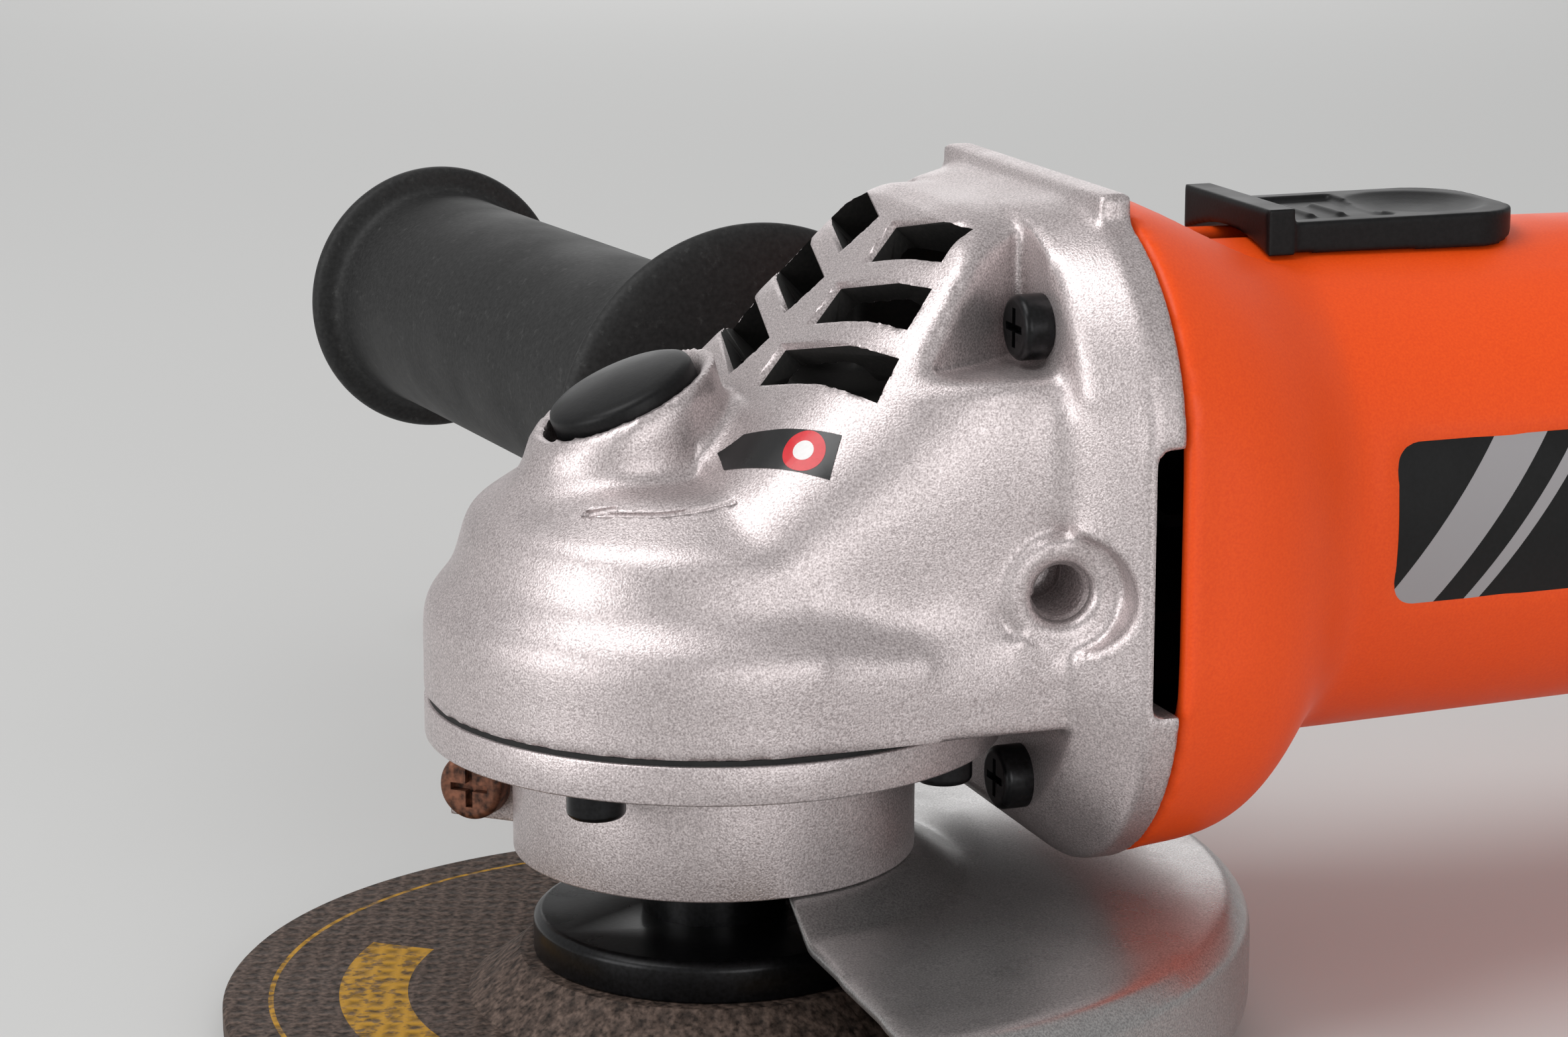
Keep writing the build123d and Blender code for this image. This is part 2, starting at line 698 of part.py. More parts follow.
def make_stator():
    body = disc_x(stator_r, core_x, core_x + core_len)
    body = body & block(core_x, core_x + core_len, -40, 40, motor_z - stator_flat, motor_z + stator_flat)
    body -= disc_x(stator_bore_r, core_x, core_x + core_len)
    for side in (-1, 1):
        y0, y1 = sorted((side * 12.0, side * 22.0))
        body -= block(core_x, core_x + core_len, y0, y1, motor_z - 4.5, motor_z + 4.5)
    return body


def make_field_coils():
    coils = []
    for end_x, sign in ((core_x, -1), (core_x + core_len, 1)):
        x0, x1 = sorted((end_x, end_x + sign * 7.0))
        coils.append(ring_x(23.5, stator_bore_r + 0.6, x0, x1)
                     & block(x0, x1, -40, 40, motor_z - stator_flat + 1, motor_z + stator_flat - 1))
    return Compound(coils)


brush_x = commutator_x + commutator_len / 2 + 0.5
brush_out = 22.0


def make_brush_holders():
    parts = []
    for side in (-1, 1):
        y0, y1 = sorted((side * (commutator_r + 2.0), side * (brush_out + 3.0)))
        sleeve = block(brush_x - 4.6, brush_x + 4.6, y0, y1, motor_z - 3.9, motor_z + 3.9)
        b0, b1 = sorted((side * commutator_r, side * (brush_out + 1.8)))
        sleeve -= block(brush_x - 3.2, brush_x + 3.2, b0, b1, motor_z - 2.6, motor_z + 2.6)
        parts.append(sleeve)
    return Compound(parts)


def make_brushes():
    parts = []
    for side in (-1, 1):
        y0, y1 = sorted((side * (commutator_r - 2.0), side * (brush_out - 5.2)))
        brush = block(brush_x - 3.1, brush_x + 3.1, y0, y1, motor_z - 2.5, motor_z + 2.5)
        parts.append(brush - disc_x(commutator_r + running_gap, brush_x - 5, brush_x + 5))
    return Compound(parts)


def make_brush_springs():
    spring = coil_spring(1.9, 0.6, brush_out - 5.2, brush_out + 1.8, 4)
    return Compound([Pos(brush_x, 0, motor_z) * Rot(side * 90, 0, 0) * spring for side in (-1, 1)])


# Motor housing

housing_sections = [
    (joint_x, rear_flange_w, rear_flange_top, rear_flange_corner),
    (joint_x + 9, rear_flange_w - 1, motor_z + barrel_r + 4, rear_flange_corner + 2),
    (joint_x + 17, rear_flange_w - 6, motor_z + barrel_r + 0.8, rear_flange_corner + 3),
    (flare_end_x - 3.5, 2 * barrel_r + 3, motor_z + barrel_r + 0.1, barrel_r * 0.96),
    (flare_end_x, 2 * barrel_r, motor_z + barrel_r, barrel_r * 0.985),
]


def housing_solid(shrink):
    flare = loft([flange_section(*section, shrink) for section in housing_sections])
    barrel = loft([
        rounded_x(flare_end_x, 2 * (barrel_r - shrink), (barrel_r - shrink) * 0.985),
        rounded_x(housing_end_x, 2 * (barrel_end_r - shrink), (barrel_end_r - shrink) * 0.985),
    ], ruled=True)
    return flare + barrel


def switch_seat():
    seat = block(switch_x0 - switch_travel - 1.5, switch_x0 + switch_len + 3.0,
                 -switch_half - 2.0, switch_half + 2.0, motor_z + 20, switch_seat_z)
    return fillet(seat.edges().filter_by(Axis.Z), 4.0)


def make_housing():
    shell = housing_solid(0.0) + switch_seat()
    shell -= housing_solid(housing_wall)
    niche_x0 = switch_x0 - switch_travel - 1.0
    shell -= across([(niche_x0, switch_seat_z), (switch_x0 + switch_len + 20, switch_seat_z),
                     (switch_x0 + switch_len + 20, switch_seat_z + 20), (niche_x0 - 4, switch_seat_z + 20)],
                    switch_half + 1.5)
    slot_x0 = switch_x0 + 10 - switch_travel - free_gap
    slot_half = rod_w / 2 + free_gap
    shell -= block(slot_x0, switch_x0 + 30 + free_gap, -slot_half, slot_half, motor_z + 20, switch_seat_z + 2)
    # stator seats, bearing bridge and brush carriers
    ribs = ring_x(barrel_r, stator_r, core_x, core_x + core_len) & housing_solid(housing_wall * 0.5)
    ribs -= block(core_x - 1, core_x + core_len + 1, -8, 8, motor_z + 15, motor_z + 40)
    shell += ribs
    bridge = ring_x(barrel_r - 0.5, rear_bearing_od / 2 + 1.2,
                    rear_bearing_x - 1.6, rear_bearing_x + rear_bearing_w)
    bridge = bridge & housing_solid(housing_wall * 0.5)
    bridge -= block(rear_bearing_x - 3, rear_bearing_x + 9, -8, 8, motor_z + 15, motor_z + 40)
    for side in (-1, 1):
        bridge -= disc_x(6.5, rear_bearing_x - 3, rear_bearing_x + 9, side * 19, motor_z)
    shell += bridge
    # tongue under the rear bearing that takes the rear cover's screw
    shell += block(rear_bearing_x + 1, tail_screw_x + 4, -5, 5, tongue_z0, tongue_z1)
    shell -= disc_z(1.9, tongue_z0 - 1, tongue_z1 + 1, tail_screw_x)
    for side in (-1, 1):
        y0, y1 = sorted((side * brush_out, side * (barrel_r - 0.5)))
        rest = block(brush_x - 6.4, brush_x + 6.4, y0, y1, motor_z - 5.6, motor_z + 5.6)
        rest = rest & housing_solid(housing_wall * 0.5)
        h0, h1 = sorted((side * (brush_out - 1), side * (brush_out + 3.0)))
        shell += rest - block(brush_x - 4.6, brush_x + 4.6, h0, h1, motor_z - 3.9, motor_z + 3.9)
    for y, z in case_screw_spots:
        post = disc_x(5.0, joint_x, joint_x + 20, y, z) & housing_solid(0.4)
        shell += post
        shell -= disc_x(2.1, joint_x - 1, rear_flange_x + 25, y, z)
    shell -= badge_block(0.0, badge_t)
    return shell


def badge_block(inset, depth):
    """Rounded plate let into the near flank of the barrel."""
    plate = RectangleRounded(badge_len - 2 * inset, badge_h - 2 * inset, 3.0)
    place = Plane(origin=(badge_x0 + badge_len / 2, -barrel_r - 4, motor_z), x_dir=(1, 0, 0), z_dir=(0, 1, 0))
    block_in = extrude(place * plate, 12.0)
    x0, x1 = badge_x0 - 1, badge_x0 + badge_len + 1
    slope = (barrel_r - barrel_end_r) / (housing_end_x - flare_end_x)
    r0 = barrel_r - slope * (x0 - flare_end_x)
    r1 = barrel_r - slope * (x1 - flare_end_x)
    core = Pos(x0, 0, motor_z) * Rot(0, 90, 0) * Cone(r0 - depth, r1 - depth, x1 - x0, align=Z_UP)
    return block_in - core


def make_badge():
    outer = badge_block(0.25, badge_t)
    x0, x1 = badge_x0 - 1, badge_x0 + badge_len + 1
    slope = (barrel_r - barrel_end_r) / (housing_end_x - flare_end_x)
    r0 = barrel_r - slope * (x0 - flare_end_x) - 0.3
    r1 = barrel_r - slope * (x1 - flare_end_x) - 0.3
    return outer & Pos(x0, 0, motor_z) * Rot(0, 90, 0) * Cone(r0, r1, x1 - x0, align=Z_UP)


def make_rear_cover():
    def body(shrink):
        return loft([
            rounded_x(housing_end_x, 2 * (barrel_end_r - shrink), (barrel_end_r - shrink) * 0.985),
            rounded_x(housing_end_x + 30, 2 * (tail_r + 1.0 - shrink), (tail_r + 1.0 - shrink) * 0.985),
            rounded_x(tail_x - 8, 2 * (tail_r - shrink), (tail_r - shrink) * 0.985),
            rounded_x(tail_x - 1.5 * shrink, 2 * (tail_r - 6 - shrink), (tail_r - 6 - shrink) * 0.985),
        ], ruled=True)

    cover = body(0.0) - body(housing_wall)
    cover += ring_x(inlet_d / 2 + 3, inlet_d / 2, tail_x - 16, tail_x - 1)
    cover -= disc_x(inlet_d / 2, tail_x - 20, tail_x + 1)
    for side in (-1, 1):
        for k in range(6):
            x0 = housing_end_x + 12 + 6 * k
            y0, y1 = sorted((side * 20, side * 40))
            cover -= block(x0, x0 + 2.6, y0, y1, motor_z - 11, motor_z + 11)
    cover += block(tail_screw_x - 3.5, tail_screw_x + 3.5, -5, 5, motor_z - barrel_end_r + 1.2, tongue_z0)
    cover -= disc_z(2.0, motor_z - barrel_end_r - 2, tongue_z0 + 1, tail_screw_x)
    cover -= disc_z(3.8, motor_z - barrel_end_r - 2, tail_screw_z, tail_screw_x)
    # two rails carry the switch
    for side in (-1, 1):
        y0, y1 = sorted((side * 9.2, side * 14.0))
        rail = block(housing_end_x + 6, housing_end_x + 40, y0, y1, motor_z - barrel_end_r + 1.5, motor_z - 4)
        cover += rail & body(1.0)
    return cover


def make_tail_screw():
    return Pos(tail_screw_x, 0, tail_screw_z) * pan_screw(1.9, tongue_z1 - tail_screw_z, 3.3, 3.2)


switch_body_x = rod_end_x + switch_travel + 1.5


def make_switch_body():
    body = block(switch_body_x, switch_body_x + 28, -9.0, 9.0, motor_z - 16, motor_z + 18)
    body += block(switch_body_x + 2, switch_body_x + 26, -14.0, 14.0, motor_z - 4, motor_z + 2)
    return body + block(switch_body_x - 1.2, switch_body_x, -4, 4, motor_z + 8, motor_z + 16)


def make_inlet_bush():
    bush = ring_x(inlet_d / 2, inlet_bore_d / 2, tail_x - 15, tail_x)
    return bush + ring_x(inlet_d / 2 + 2.5, inlet_bore_d / 2, tail_x, tail_x + 2)


# Slide switch

def make_switch_slider():
    x0, x1 = switch_x0, switch_x0 + switch_len
    z0 = switch_seat_z + sliding_gap
    top = z0 + switch_h
    cap = block(x0, x1, -switch_half, switch_half, z0, top)
    cap = fillet(cap.edges().filter_by(Axis.Z).group_by(Axis.X)[-1], switch_end_round)
    cap = chamfer(cap.edges().group_by(Axis.Z)[-1], 0.6)
    cap -= Pos(x1 - thumb_back, 0, top + thumb_r - thumb_depth) * Sphere(thumb_r)
    cap -= block(x0 + switch_lip_t, x1 - 2 * thumb_back + 5.0, -switch_half + 2.5, switch_half - 2.5,
                 top - panel_depth, top)
    lip = block(x0, x0 + switch_lip_t, -switch_half, switch_half, z0, z0 + switch_lip_h)
    lip = fillet(lip.edges().filter_by(Axis.Y).group_by(Axis.Z)[-1], 1.2)
    leg = block(x0 + 10, x0 + 30, -rod_w / 2, rod_w / 2, rod_z1, z0)
    return cap + lip + leg


def make_switch_rod():
    bar = block(switch_x0 + 10, rod_end_x, -rod_w / 2, rod_w / 2, rod_z1 - rod_t, rod_z1)
    return bar + block(rod_end_x - 3, rod_end_x, -rod_w / 2, rod_w / 2, motor_z + 10, rod_z1)


# Spindle lock

def make_lock_button():
    z0 = lock_floor_z + lock_spring_len
    cap = disc_z(lock_d / 2, z0, lock_boss_z + 15, lock_x)
    cap -= across(lock_face_cut(lock_boss_z + lock_proud), lock_boss_d)
    cap = fillet(cap.edges().filter_by(GeomType.ELLIPSE), 1.4)
    return cap - disc_z(lock_pin_d / 2, z0 - 1, z0 + 2.5, lock_x)


def make_lock_pin():
    z1 = lock_floor_z + lock_spring_len + 2.5
    pin = disc_z(lock_pin_d / 2, web_z1 + lock_travel + 0.4, z1, lock_x)
    return chamfer(pin.edges().sort_by(Axis.Z)[:1], 0.6)


def make_lock_spring():
    z1 = lock_floor_z + lock_spring_len
    coil = coil_spring(lock_d / 2 - 2.6, lock_wire_d, lock_floor_z + 0.02, z1 - 0.02, lock_spring_turns)
    return Pos(lock_x, 0, 0) * coil


# Guard

def make_guard():
    skirt_z = guard_edge_z - guard_skirt
    outline = [
        (collar_r, collar_z0), (collar_r + 6, guard_edge_z + 1.2), (guard_r - 2.5, guard_edge_z),
        (guard_r, guard_edge_z - 2.5), (guard_r, skirt_z), (guard_r - 4.0, skirt_z - 1.0),
    ]
    inner = [
        (guard_r - 4.0, skirt_z + guard_t * 0.9), (guard_r - guard_t, skirt_z + guard_t),
        (guard_r - guard_t, guard_edge_z - 3.3), (guard_r - 3.3, guard_edge_z - guard_t),
        (collar_r + 5.2, guard_edge_z + 1.2 - guard_t), (collar_r - guard_t + 0.2, collar_z0 - 0.6),
        (collar_inner_r, collar_z0),
    ]
    shell = turned(outline + inner)
    return shell & block(guard_cut_x, guard_r + 5, -guard_r - 5, guard_r + 5, -10, collar_z0 + 1)


def make_guard_collar():
    z0, z1 = collar_z0, collar_z0 + collar_h
    band = ring_z(collar_r, collar_inner_r, z0, z1)
    gap = block(collar_inner_r - 3, collar_r + 3, -ear_gap / 2, ear_gap / 2, z0 - 1, z1 + 1)
    band -= Rot(0, 0, ear_angle) * gap
    for side in (-1, 1):
        y0, y1 = sorted((side * ear_gap / 2, side * (ear_gap / 2 + ear_t)))
        ear = block(collar_r - 1.2, collar_r + ear_len, y0, y1, z0 + 0.5, z0 + 9.5)
        band += Rot(0, 0, ear_angle) * (ear - disc_z(collar_r - 1.0, z0, z1))
    hole = Pos(collar_r + 5.0, 0, z0 + 5.0) * Rot(90, 0, 0) * Cylinder(guard_bolt_d / 2 + 0.1, 40)
    return band - Rot(0, 0, ear_angle) * hole


def bolt_place():
    return Rot(0, 0, ear_angle) * Pos(collar_r + 5.0, 0, collar_z0 + 5.0)


def make_guard_bolt():
    grip = ear_gap / 2 + ear_t
    bolt = Rot(90, 0, 0) * pan_screw(guard_bolt_d / 2, 2 * grip + 5.0, 4.0, 3.0)
    return bolt_place() * Pos(0, grip, 0) * bolt


def make_guard_nut():
    grip = ear_gap / 2 + ear_t
    nut = extrude(RegularPolygon(4.4, 6), 3.6) - Cylinder(guard_bolt_d / 2, 20)
    return bolt_place() * Pos(0, -grip, 0) * Rot(90, 0, 0) * nut


# Side handle

def make_handle_grip():
    half = grip_d / 2
    z0 = grip_gap
    z1 = grip_gap + grip_len
    ring = guard_ring_d / 2
    end = end_ring_d / 2
    grip = turned([
        (0, z0), (10, z0), (ring - 1.5, z0 + 2.5), (ring, z0 + 4), (ring, z0 + 5.5), (ring - 1.5, z0 + 7),
        (half + 2, z0 + 9), (half, z0 + 15), (half - 0.5, z1 - 22), (half + 0.4, z1 - 14), (end - 1.2, z1 - 9.5),
        (end, z1 - 7.5), (end, z1 - 5.5), (end - 1.5, z1 - 3), (end - 6, z1 - 0.6), (0, z1),
    ])
    grip -= disc_z(stud_d / 2, z0 - 1, z0 + 30)
    return handle_axis(1) * grip


def make_handle_stud():
    stud = disc_z(stud_d / 2, -stud_reach, grip_gap + 30) + disc_z(handle_boss_d / 2, 0, grip_gap)
    return handle_axis(1) * stud


parts = {
    "gear_case": make_gear_case(),
    "bearing_cover": make_bearing_cover(),
    "cover_gasket": make_cover_gasket(),
    "cover_screws": make_cover_screws(),
    "case_screws": make_case_screws(),
    "spindle_bearing": bearing_z(lower_bearing_od, spindle_seat_d + 2 * running_gap,
                                 lower_bearing_z0, lower_bearing_w),
    "bearing_snap_ring": snap_ring(lower_bearing_od / 2 + 0.9, lower_bearing_od / 2 - 2.5,
                                   lower_bearing_z1, lower_bearing_z1 + 1.2),
    "spindle_bush": ring_z(bush_od / 2, spindle_top_d / 2 + running_gap, bush_z0, bush_z0 + bush_len),
    "spindle": make_spindle(),
    "bevel_gear": make_bevel_gear(),
    "gear_snap_ring": ring_z(spindle_seat_d / 2 + 2, spindle_seat_d / 2,
                             web_z1 + gear_hub_rise, web_z1 + gear_hub_rise + 1.2),
    "inner_flange": make_inner_flange(),
    "grinding_wheel": make_wheel(),
    "clamp_nut": make_clamp_nut(),
    "armature_shaft": make_shaft(),
    "armature_core": make_core(),
    "armature_windings": make_windings(),
    "commutator": make_commutator(),
    "fan": make_fan(),
    "bevel_pinion": make_bevel_pinion(),
    "front_bearing": bearing_x(front_bearing_od, 8.0 + 2 * running_gap, front_bearing_x, front_bearing_w),
    "rear_bearing": bearing_x(rear_bearing_od, 7.0 + 2 * running_gap, rear_bearing_x, rear_bearing_w),
    "rear_bearing_boot": ring_x(rear_bearing_od / 2 + 1.2, rear_bearing_od / 2,
                                rear_bearing_x, rear_bearing_x + rear_bearing_w),
    "stator_core": make_stator(),
    "field_coils": make_field_coils(),
    "brush_holders": make_brush_holders(),
    "carbon_brushes": make_brushes(),
    "brush_springs": make_brush_springs(),
    "motor_housing": make_housing(),
    "badge_plate": make_badge(),
    "rear_cover": make_rear_cover(),
    "rear_cover_screw": make_tail_screw(),
    "inlet_bush": make_inlet_bush(),
    "switch_body": make_switch_body(),
    "switch_slider": make_switch_slider(),
    "switch_rod": make_switch_rod(),
    "lock_button": make_lock_button(),
    "lock_pin": make_lock_pin(),
    "lock_spring": make_lock_spring(),
    "guard": make_guard(),
    "guard_collar": make_guard_collar(),
    "guard_bolt": make_guard_bolt(),
    "guard_nut": make_guard_nut(),
    "handle_grip": make_handle_grip(),
    "handle_stud": make_handle_stud(),
}

os.makedirs("parts", exist_ok=True)
for name, solid in parts.items():
    export_step(solid, f"parts/{name}.step")
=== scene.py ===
import json
import math

import bpy
from mathutils import Matrix, Vector


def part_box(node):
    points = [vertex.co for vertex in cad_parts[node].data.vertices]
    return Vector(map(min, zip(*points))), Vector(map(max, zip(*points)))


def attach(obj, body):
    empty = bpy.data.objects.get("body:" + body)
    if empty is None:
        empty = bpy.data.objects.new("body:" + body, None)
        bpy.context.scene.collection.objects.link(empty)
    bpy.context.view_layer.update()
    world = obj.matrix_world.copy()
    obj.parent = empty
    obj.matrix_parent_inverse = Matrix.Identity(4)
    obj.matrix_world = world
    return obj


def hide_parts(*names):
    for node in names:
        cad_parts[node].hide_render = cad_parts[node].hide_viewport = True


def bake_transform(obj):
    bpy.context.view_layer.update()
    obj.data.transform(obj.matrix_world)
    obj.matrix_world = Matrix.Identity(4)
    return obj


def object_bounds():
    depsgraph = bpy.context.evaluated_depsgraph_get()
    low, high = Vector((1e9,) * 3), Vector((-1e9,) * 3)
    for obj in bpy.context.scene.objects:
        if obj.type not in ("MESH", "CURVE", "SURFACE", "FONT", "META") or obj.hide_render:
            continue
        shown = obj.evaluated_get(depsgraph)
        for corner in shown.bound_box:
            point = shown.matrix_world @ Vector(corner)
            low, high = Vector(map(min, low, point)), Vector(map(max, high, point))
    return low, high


# Looks of an angle grinder: cast aluminium head, orange moulded housing, black grip and switch.
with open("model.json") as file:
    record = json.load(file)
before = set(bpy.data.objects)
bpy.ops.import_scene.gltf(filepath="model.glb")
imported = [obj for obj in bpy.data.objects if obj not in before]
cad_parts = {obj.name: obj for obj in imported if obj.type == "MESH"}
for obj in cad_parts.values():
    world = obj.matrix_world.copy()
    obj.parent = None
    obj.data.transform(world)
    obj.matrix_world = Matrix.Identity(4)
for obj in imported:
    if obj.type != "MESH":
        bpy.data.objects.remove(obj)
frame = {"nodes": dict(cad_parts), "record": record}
cad_low, cad_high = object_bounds()
nodes = frame["nodes"]
body_of = {name: body for body, names in frame["record"]["behaviour"]["bodies"].items() for name in names}
slot_of = {row["node"]: row["material_slot"] for row in frame["record"]["subparts"]}

MM = 0.001
WELD = 0.002 * MM

# Sizes in millimetres that the CAD has too
SEAM_Z, SLOPE_Z0, SLOPE_TILT = 40.8, 72.8, 45.0
LOCK_X, LOCK_TILT, LOCK_FACE_Z = -10.6, 24.0, 75.2
HANDLE_X, HANDLE_Z, HANDLE_FACE_Y, HANDLE_SWEEP, SOCKET_R = 29.7, 56.3, 32.6, 6.0, 3.4
GRIP_GAP, GRIP_LEN = 26.0, 127.0
MOTOR_Z, BARREL_R, BARREL_END_R, FLARE_END_X, HOUSING_END_X = 60.0, 30.5, 28.6, 68.0, 160.0
SLIDER_X1, SLIDER_HALF = 99.0, 11.0
WHEEL_T, WHEEL_BORE = 3.2, 22.2

# Sizes in millimetres of the forms that the looks add or refine
DUCT_FLOOR_Z, DUCT_ROOF_Z, DUCT_DEPTH, DUCT_X = 69.0, 91.2, 5.5, 3.0
DUCT_HALF, DUCT_WING_HALF, DUCT_WING_X = 14.6, 19.6, 23.0
LOCK_R, LOCK_PROUD = 8.7, 1.5
THREAD_PITCH, THREAD_DEPTH, THREAD_TURNS, THREAD_SINK = 1.25, 0.6, 8, 0.2
SEAT_END_X, SEAT_HALF, SEAT_TRIM_R, SEAT_REACH = 104.0, 15.0, 45.75, 200.0
RECESS_X, RECESS_HALF, RECESS_DROP, RECESS_LAP = 55.3, 13.4, 0.15, 2.0
SLIDER_X0, SLIDER_TOP, SLIDER_FOOT_Z, SLIDER_END_ROUND = 64.6, 92.5, 80.0, 7.0
SLIDER_CLEAR, SLIDER_SPAN = 0.3, (40.0, 120.0)
LIP_T, LIP_Z, LIP_AHEAD, LIP_BESIDE = 3.0, 94.2, 0.6, 0.4
PANEL_BACK, PANEL_X1, PANEL_HALF, PANEL_DEPTH, PANEL_CUT_Z = 1.2, 82.0, 8.6, 0.7, 99.0
RIDGE_BACK, RIDGE_W, RIDGE_HALF, RIDGE_FOOT, RIDGE_DROP = (9.0, 5.0), 0.9, 4.0, 2.0, 0.15
THUMB_X, THUMB_R, THUMB_DEPTH = 89.0, 26.0, 1.5
WHEEL_WEB_R, WHEEL_RIM_ROUND = 40.0, 0.4
HUB_UNDER_R, HUB_BEND_R, HUB_BEND_DROP, HUB_FOOT_R, HUB_FOOT_RISE = 24.0, 26.6, 1.6, 29.8, 0.2
HUB_TOP_R, HUB_SIDE_R, HUB_SIDE_DROP, HUB_SKIRT_R = 22.8, 26.0, 2.6, 28.9
EDGE_BREAK = 0.35

# Turned outlines: the grip's (radius, distance from its guard's face or from its end)
GRIP_GUARD = ((5.0, 0.6), (10.0, 0.5), (19.0, 1.3), (25.6, 2.2), (27.4, 3.0), (28.0, 4.2), (27.4, 5.4),
              (25.0, 6.0), (21.0, 7.0), (18.6, 9.4), (17.4, 13.0), (17.0, 20.0), (16.8, 60.0))
GRIP_END = ((16.6, 26.0), (16.6, 12.0), (16.8, 9.6), (17.4, 8.4), (18.2, 8.0), (19.8, 7.7), (20.5, 7.2),
            (20.7, 6.0), (20.2, 4.6), (18.6, 3.0), (15.6, 1.4), (8.0, 0.4))

# The lock cap's (radius, height) below, (inset, height) at its edge and (radius, height) on its crown
LOCK_UNDER = ((4.0, -3.4), (6.0, -3.2), (7.4, -1.9))
LOCK_LOW_EDGE = ((0.1, -1.6), (0.0, -1.2))
LOCK_TOP_EDGE = ((0.0, -0.7), (0.2, -0.2), (0.8, 0.1))
LOCK_CROWN = ((7.0, 0.35), (5.0, 0.65), (3.0, 0.85), (1.0, 0.95))

# Where the casting's edges stay tight, and how finely and softly each piece is remeshed
VENT_DROP, VENT_HALF, VENT_X = 8.0, 24.5, 2.2
LOCK_CRISP_R, HANDLE_CRISP_R = 10.4, 7.2
POCKET_X, POCKET_Y, POCKET_SPREAD, POCKET_EDGE = 31.0, 16.2, 0.6, 2.0
FLANGE_X, SEAM_CRISP = 34.0, 2.2
CHAMBER = ((30.4, 52.2), (27.0, 58.9), (20.7, 64.1))
CAST_VOXEL, CAST_SMOOTH, BLEND_SMOOTH = 0.66, 3, 18
VALLEY_X, VALLEY_HALF, VALLEY_Z, VALLEY_SMOOTH = (-5.0, 9.0), 22.0, 66.0, 60
FLANK_STEPS, FLANK_X1, FLANK_Z, FLANK_Y = ((2.0, 40), (14.0, 80)), 36.5, (46.0, 78.0), 23.0
GUARD_VOXEL, GUARD_SMOOTH = 0.5, 40
HOUSING_VOXEL, HOUSING_SMOOTH = 1.0, 6
SLIDER_VOXEL, SLIDER_SMOOTH = 0.3, 5

# Vents: swept slots in three rows, cut clean through the softened casting
VENT_ROWS, VENT_FIRST_X, VENT_PITCH, VENT_GAP = 3, 5.6, 6.7, 7.0
VENT_HALF_W, VENT_LEN, VENT_SHRINK, VENT_SWEEP = 2.52, 20.0, 3.5, 16.0
VENT_CLEAN, VENT_END_CLEAN, VENT_RIM, VENT_RIM_DEPTH, VENT_REACH = 0.3, 0.8, 0.8, 0.8, 9.0

# Photo camera, and marks placed by pixels of the photo
PHOTO_W, PHOTO_H = 2367, 1566
LENS, SENSOR = 91.25, 36.0
CAMERA_AT, CAMERA_PITCH, CAMERA_TURN = (-0.1414, -0.4215, 0.1622), 77.07, -19.6
STICKER_PX, STICKER_TIP_PX = (1162, 678), (1058, 678)
STICKER_L, STICKER_W, STICKER_T, STICKER_LIFT, STICKER_OFF = 16.5, 5.2, 0.08, 2.0, 0.02
DOT_R, EYE_R, DOT_ALONG, LAYER_STEP = 2.5, 1.2, 0.28, 0.3
ARROW_PX = ((880, 777), (960, 781), (1040, 775), (1110, 756))
ARROW_BARB_PX = (885, 777), (932, 768)
ARROW_R = 0.42

# Printed and pressed patterns, in millimetres, with the blocks' arc as a share of their spacing
PRINT_LINE, PRINT_BAND, PRINT_BLOCKS, PRINT_ARC = (51.6, 52.2), (36.0, 44.0), 3, (0.18, 0.62)
PRINT_WEAR, DUST_SPECK = 1.2, 1.6
MESH_PITCH, MESH_TURNS, MESH_DEPTH = 2.6, (20, 110), 0.25
BADGE_SLANT, BADGE_WIDE, BADGE_THIN = 0.75, (33.0, 40.0), (44.0, 46.0)

# Studio, in metres and watts: each lamp's name, place, size and power
FLOOR_SIZE, SKY_STRENGTH, LAMP_AIM = 8.0, 0.7, (0.02, 0, 0.06)
LAMPS = (
    ("key", (-0.75, -0.05, 1.35), 1.0, 11.0),
    ("rim", (0.5, 1.4, 0.5), 1.0, 2.6),
    ("low_fill", (0.1, -1.4, 0.2), 1.0, 6.0),
    ("low_left", (-1.4, -0.25, 0.3), 0.8, 7.0),
)


# Materials

SHEEN = "Specular IOR Level"
GRAIN_RANGE, GLOSS_SPREAD = (0.3, 0.7), 0.06

# A wave texture of scale 1 repeats at this spacing
WAVE_SPACING = math.pi / 10


def linear(code):
    """Linear colour from an sRGB hex code."""
    parts = [int(code[i:i + 2], 16) / 255 for i in (1, 3, 5)]
    return [p / 12.92 if p <= 0.04045 else ((p + 0.055) / 1.055) ** 2.4 for p in parts] + [1.0]


def per_mm(size):
    """Texture scale whose pattern repeats about every size millimetres."""
    return 1 / (size * MM)


def add(tree, kind, inputs=None, **settings):
    """Adds a node: a (node, output) pair is linked to a socket, any other value is set on it."""
    made = tree.nodes.new(kind)
    for name, value in settings.items():
        setattr(made, name, value)
    for name, value in (inputs or {}).items():
        if isinstance(value, tuple) and isinstance(value[0], bpy.types.Node):
            tree.links.new(value[0].outputs[value[1]], made.inputs[name])
        else:
            made.inputs[name].default_value = value
    return made


def new_material(name):
    """An empty material, its node tree and its texture coordinates."""
    material = bpy.data.materials.new(name)
    material.use_nodes = True
    tree = material.node_tree
    tree.nodes.clear()
    place = add(tree, "ShaderNodeTexCoord")
    return material, tree, place


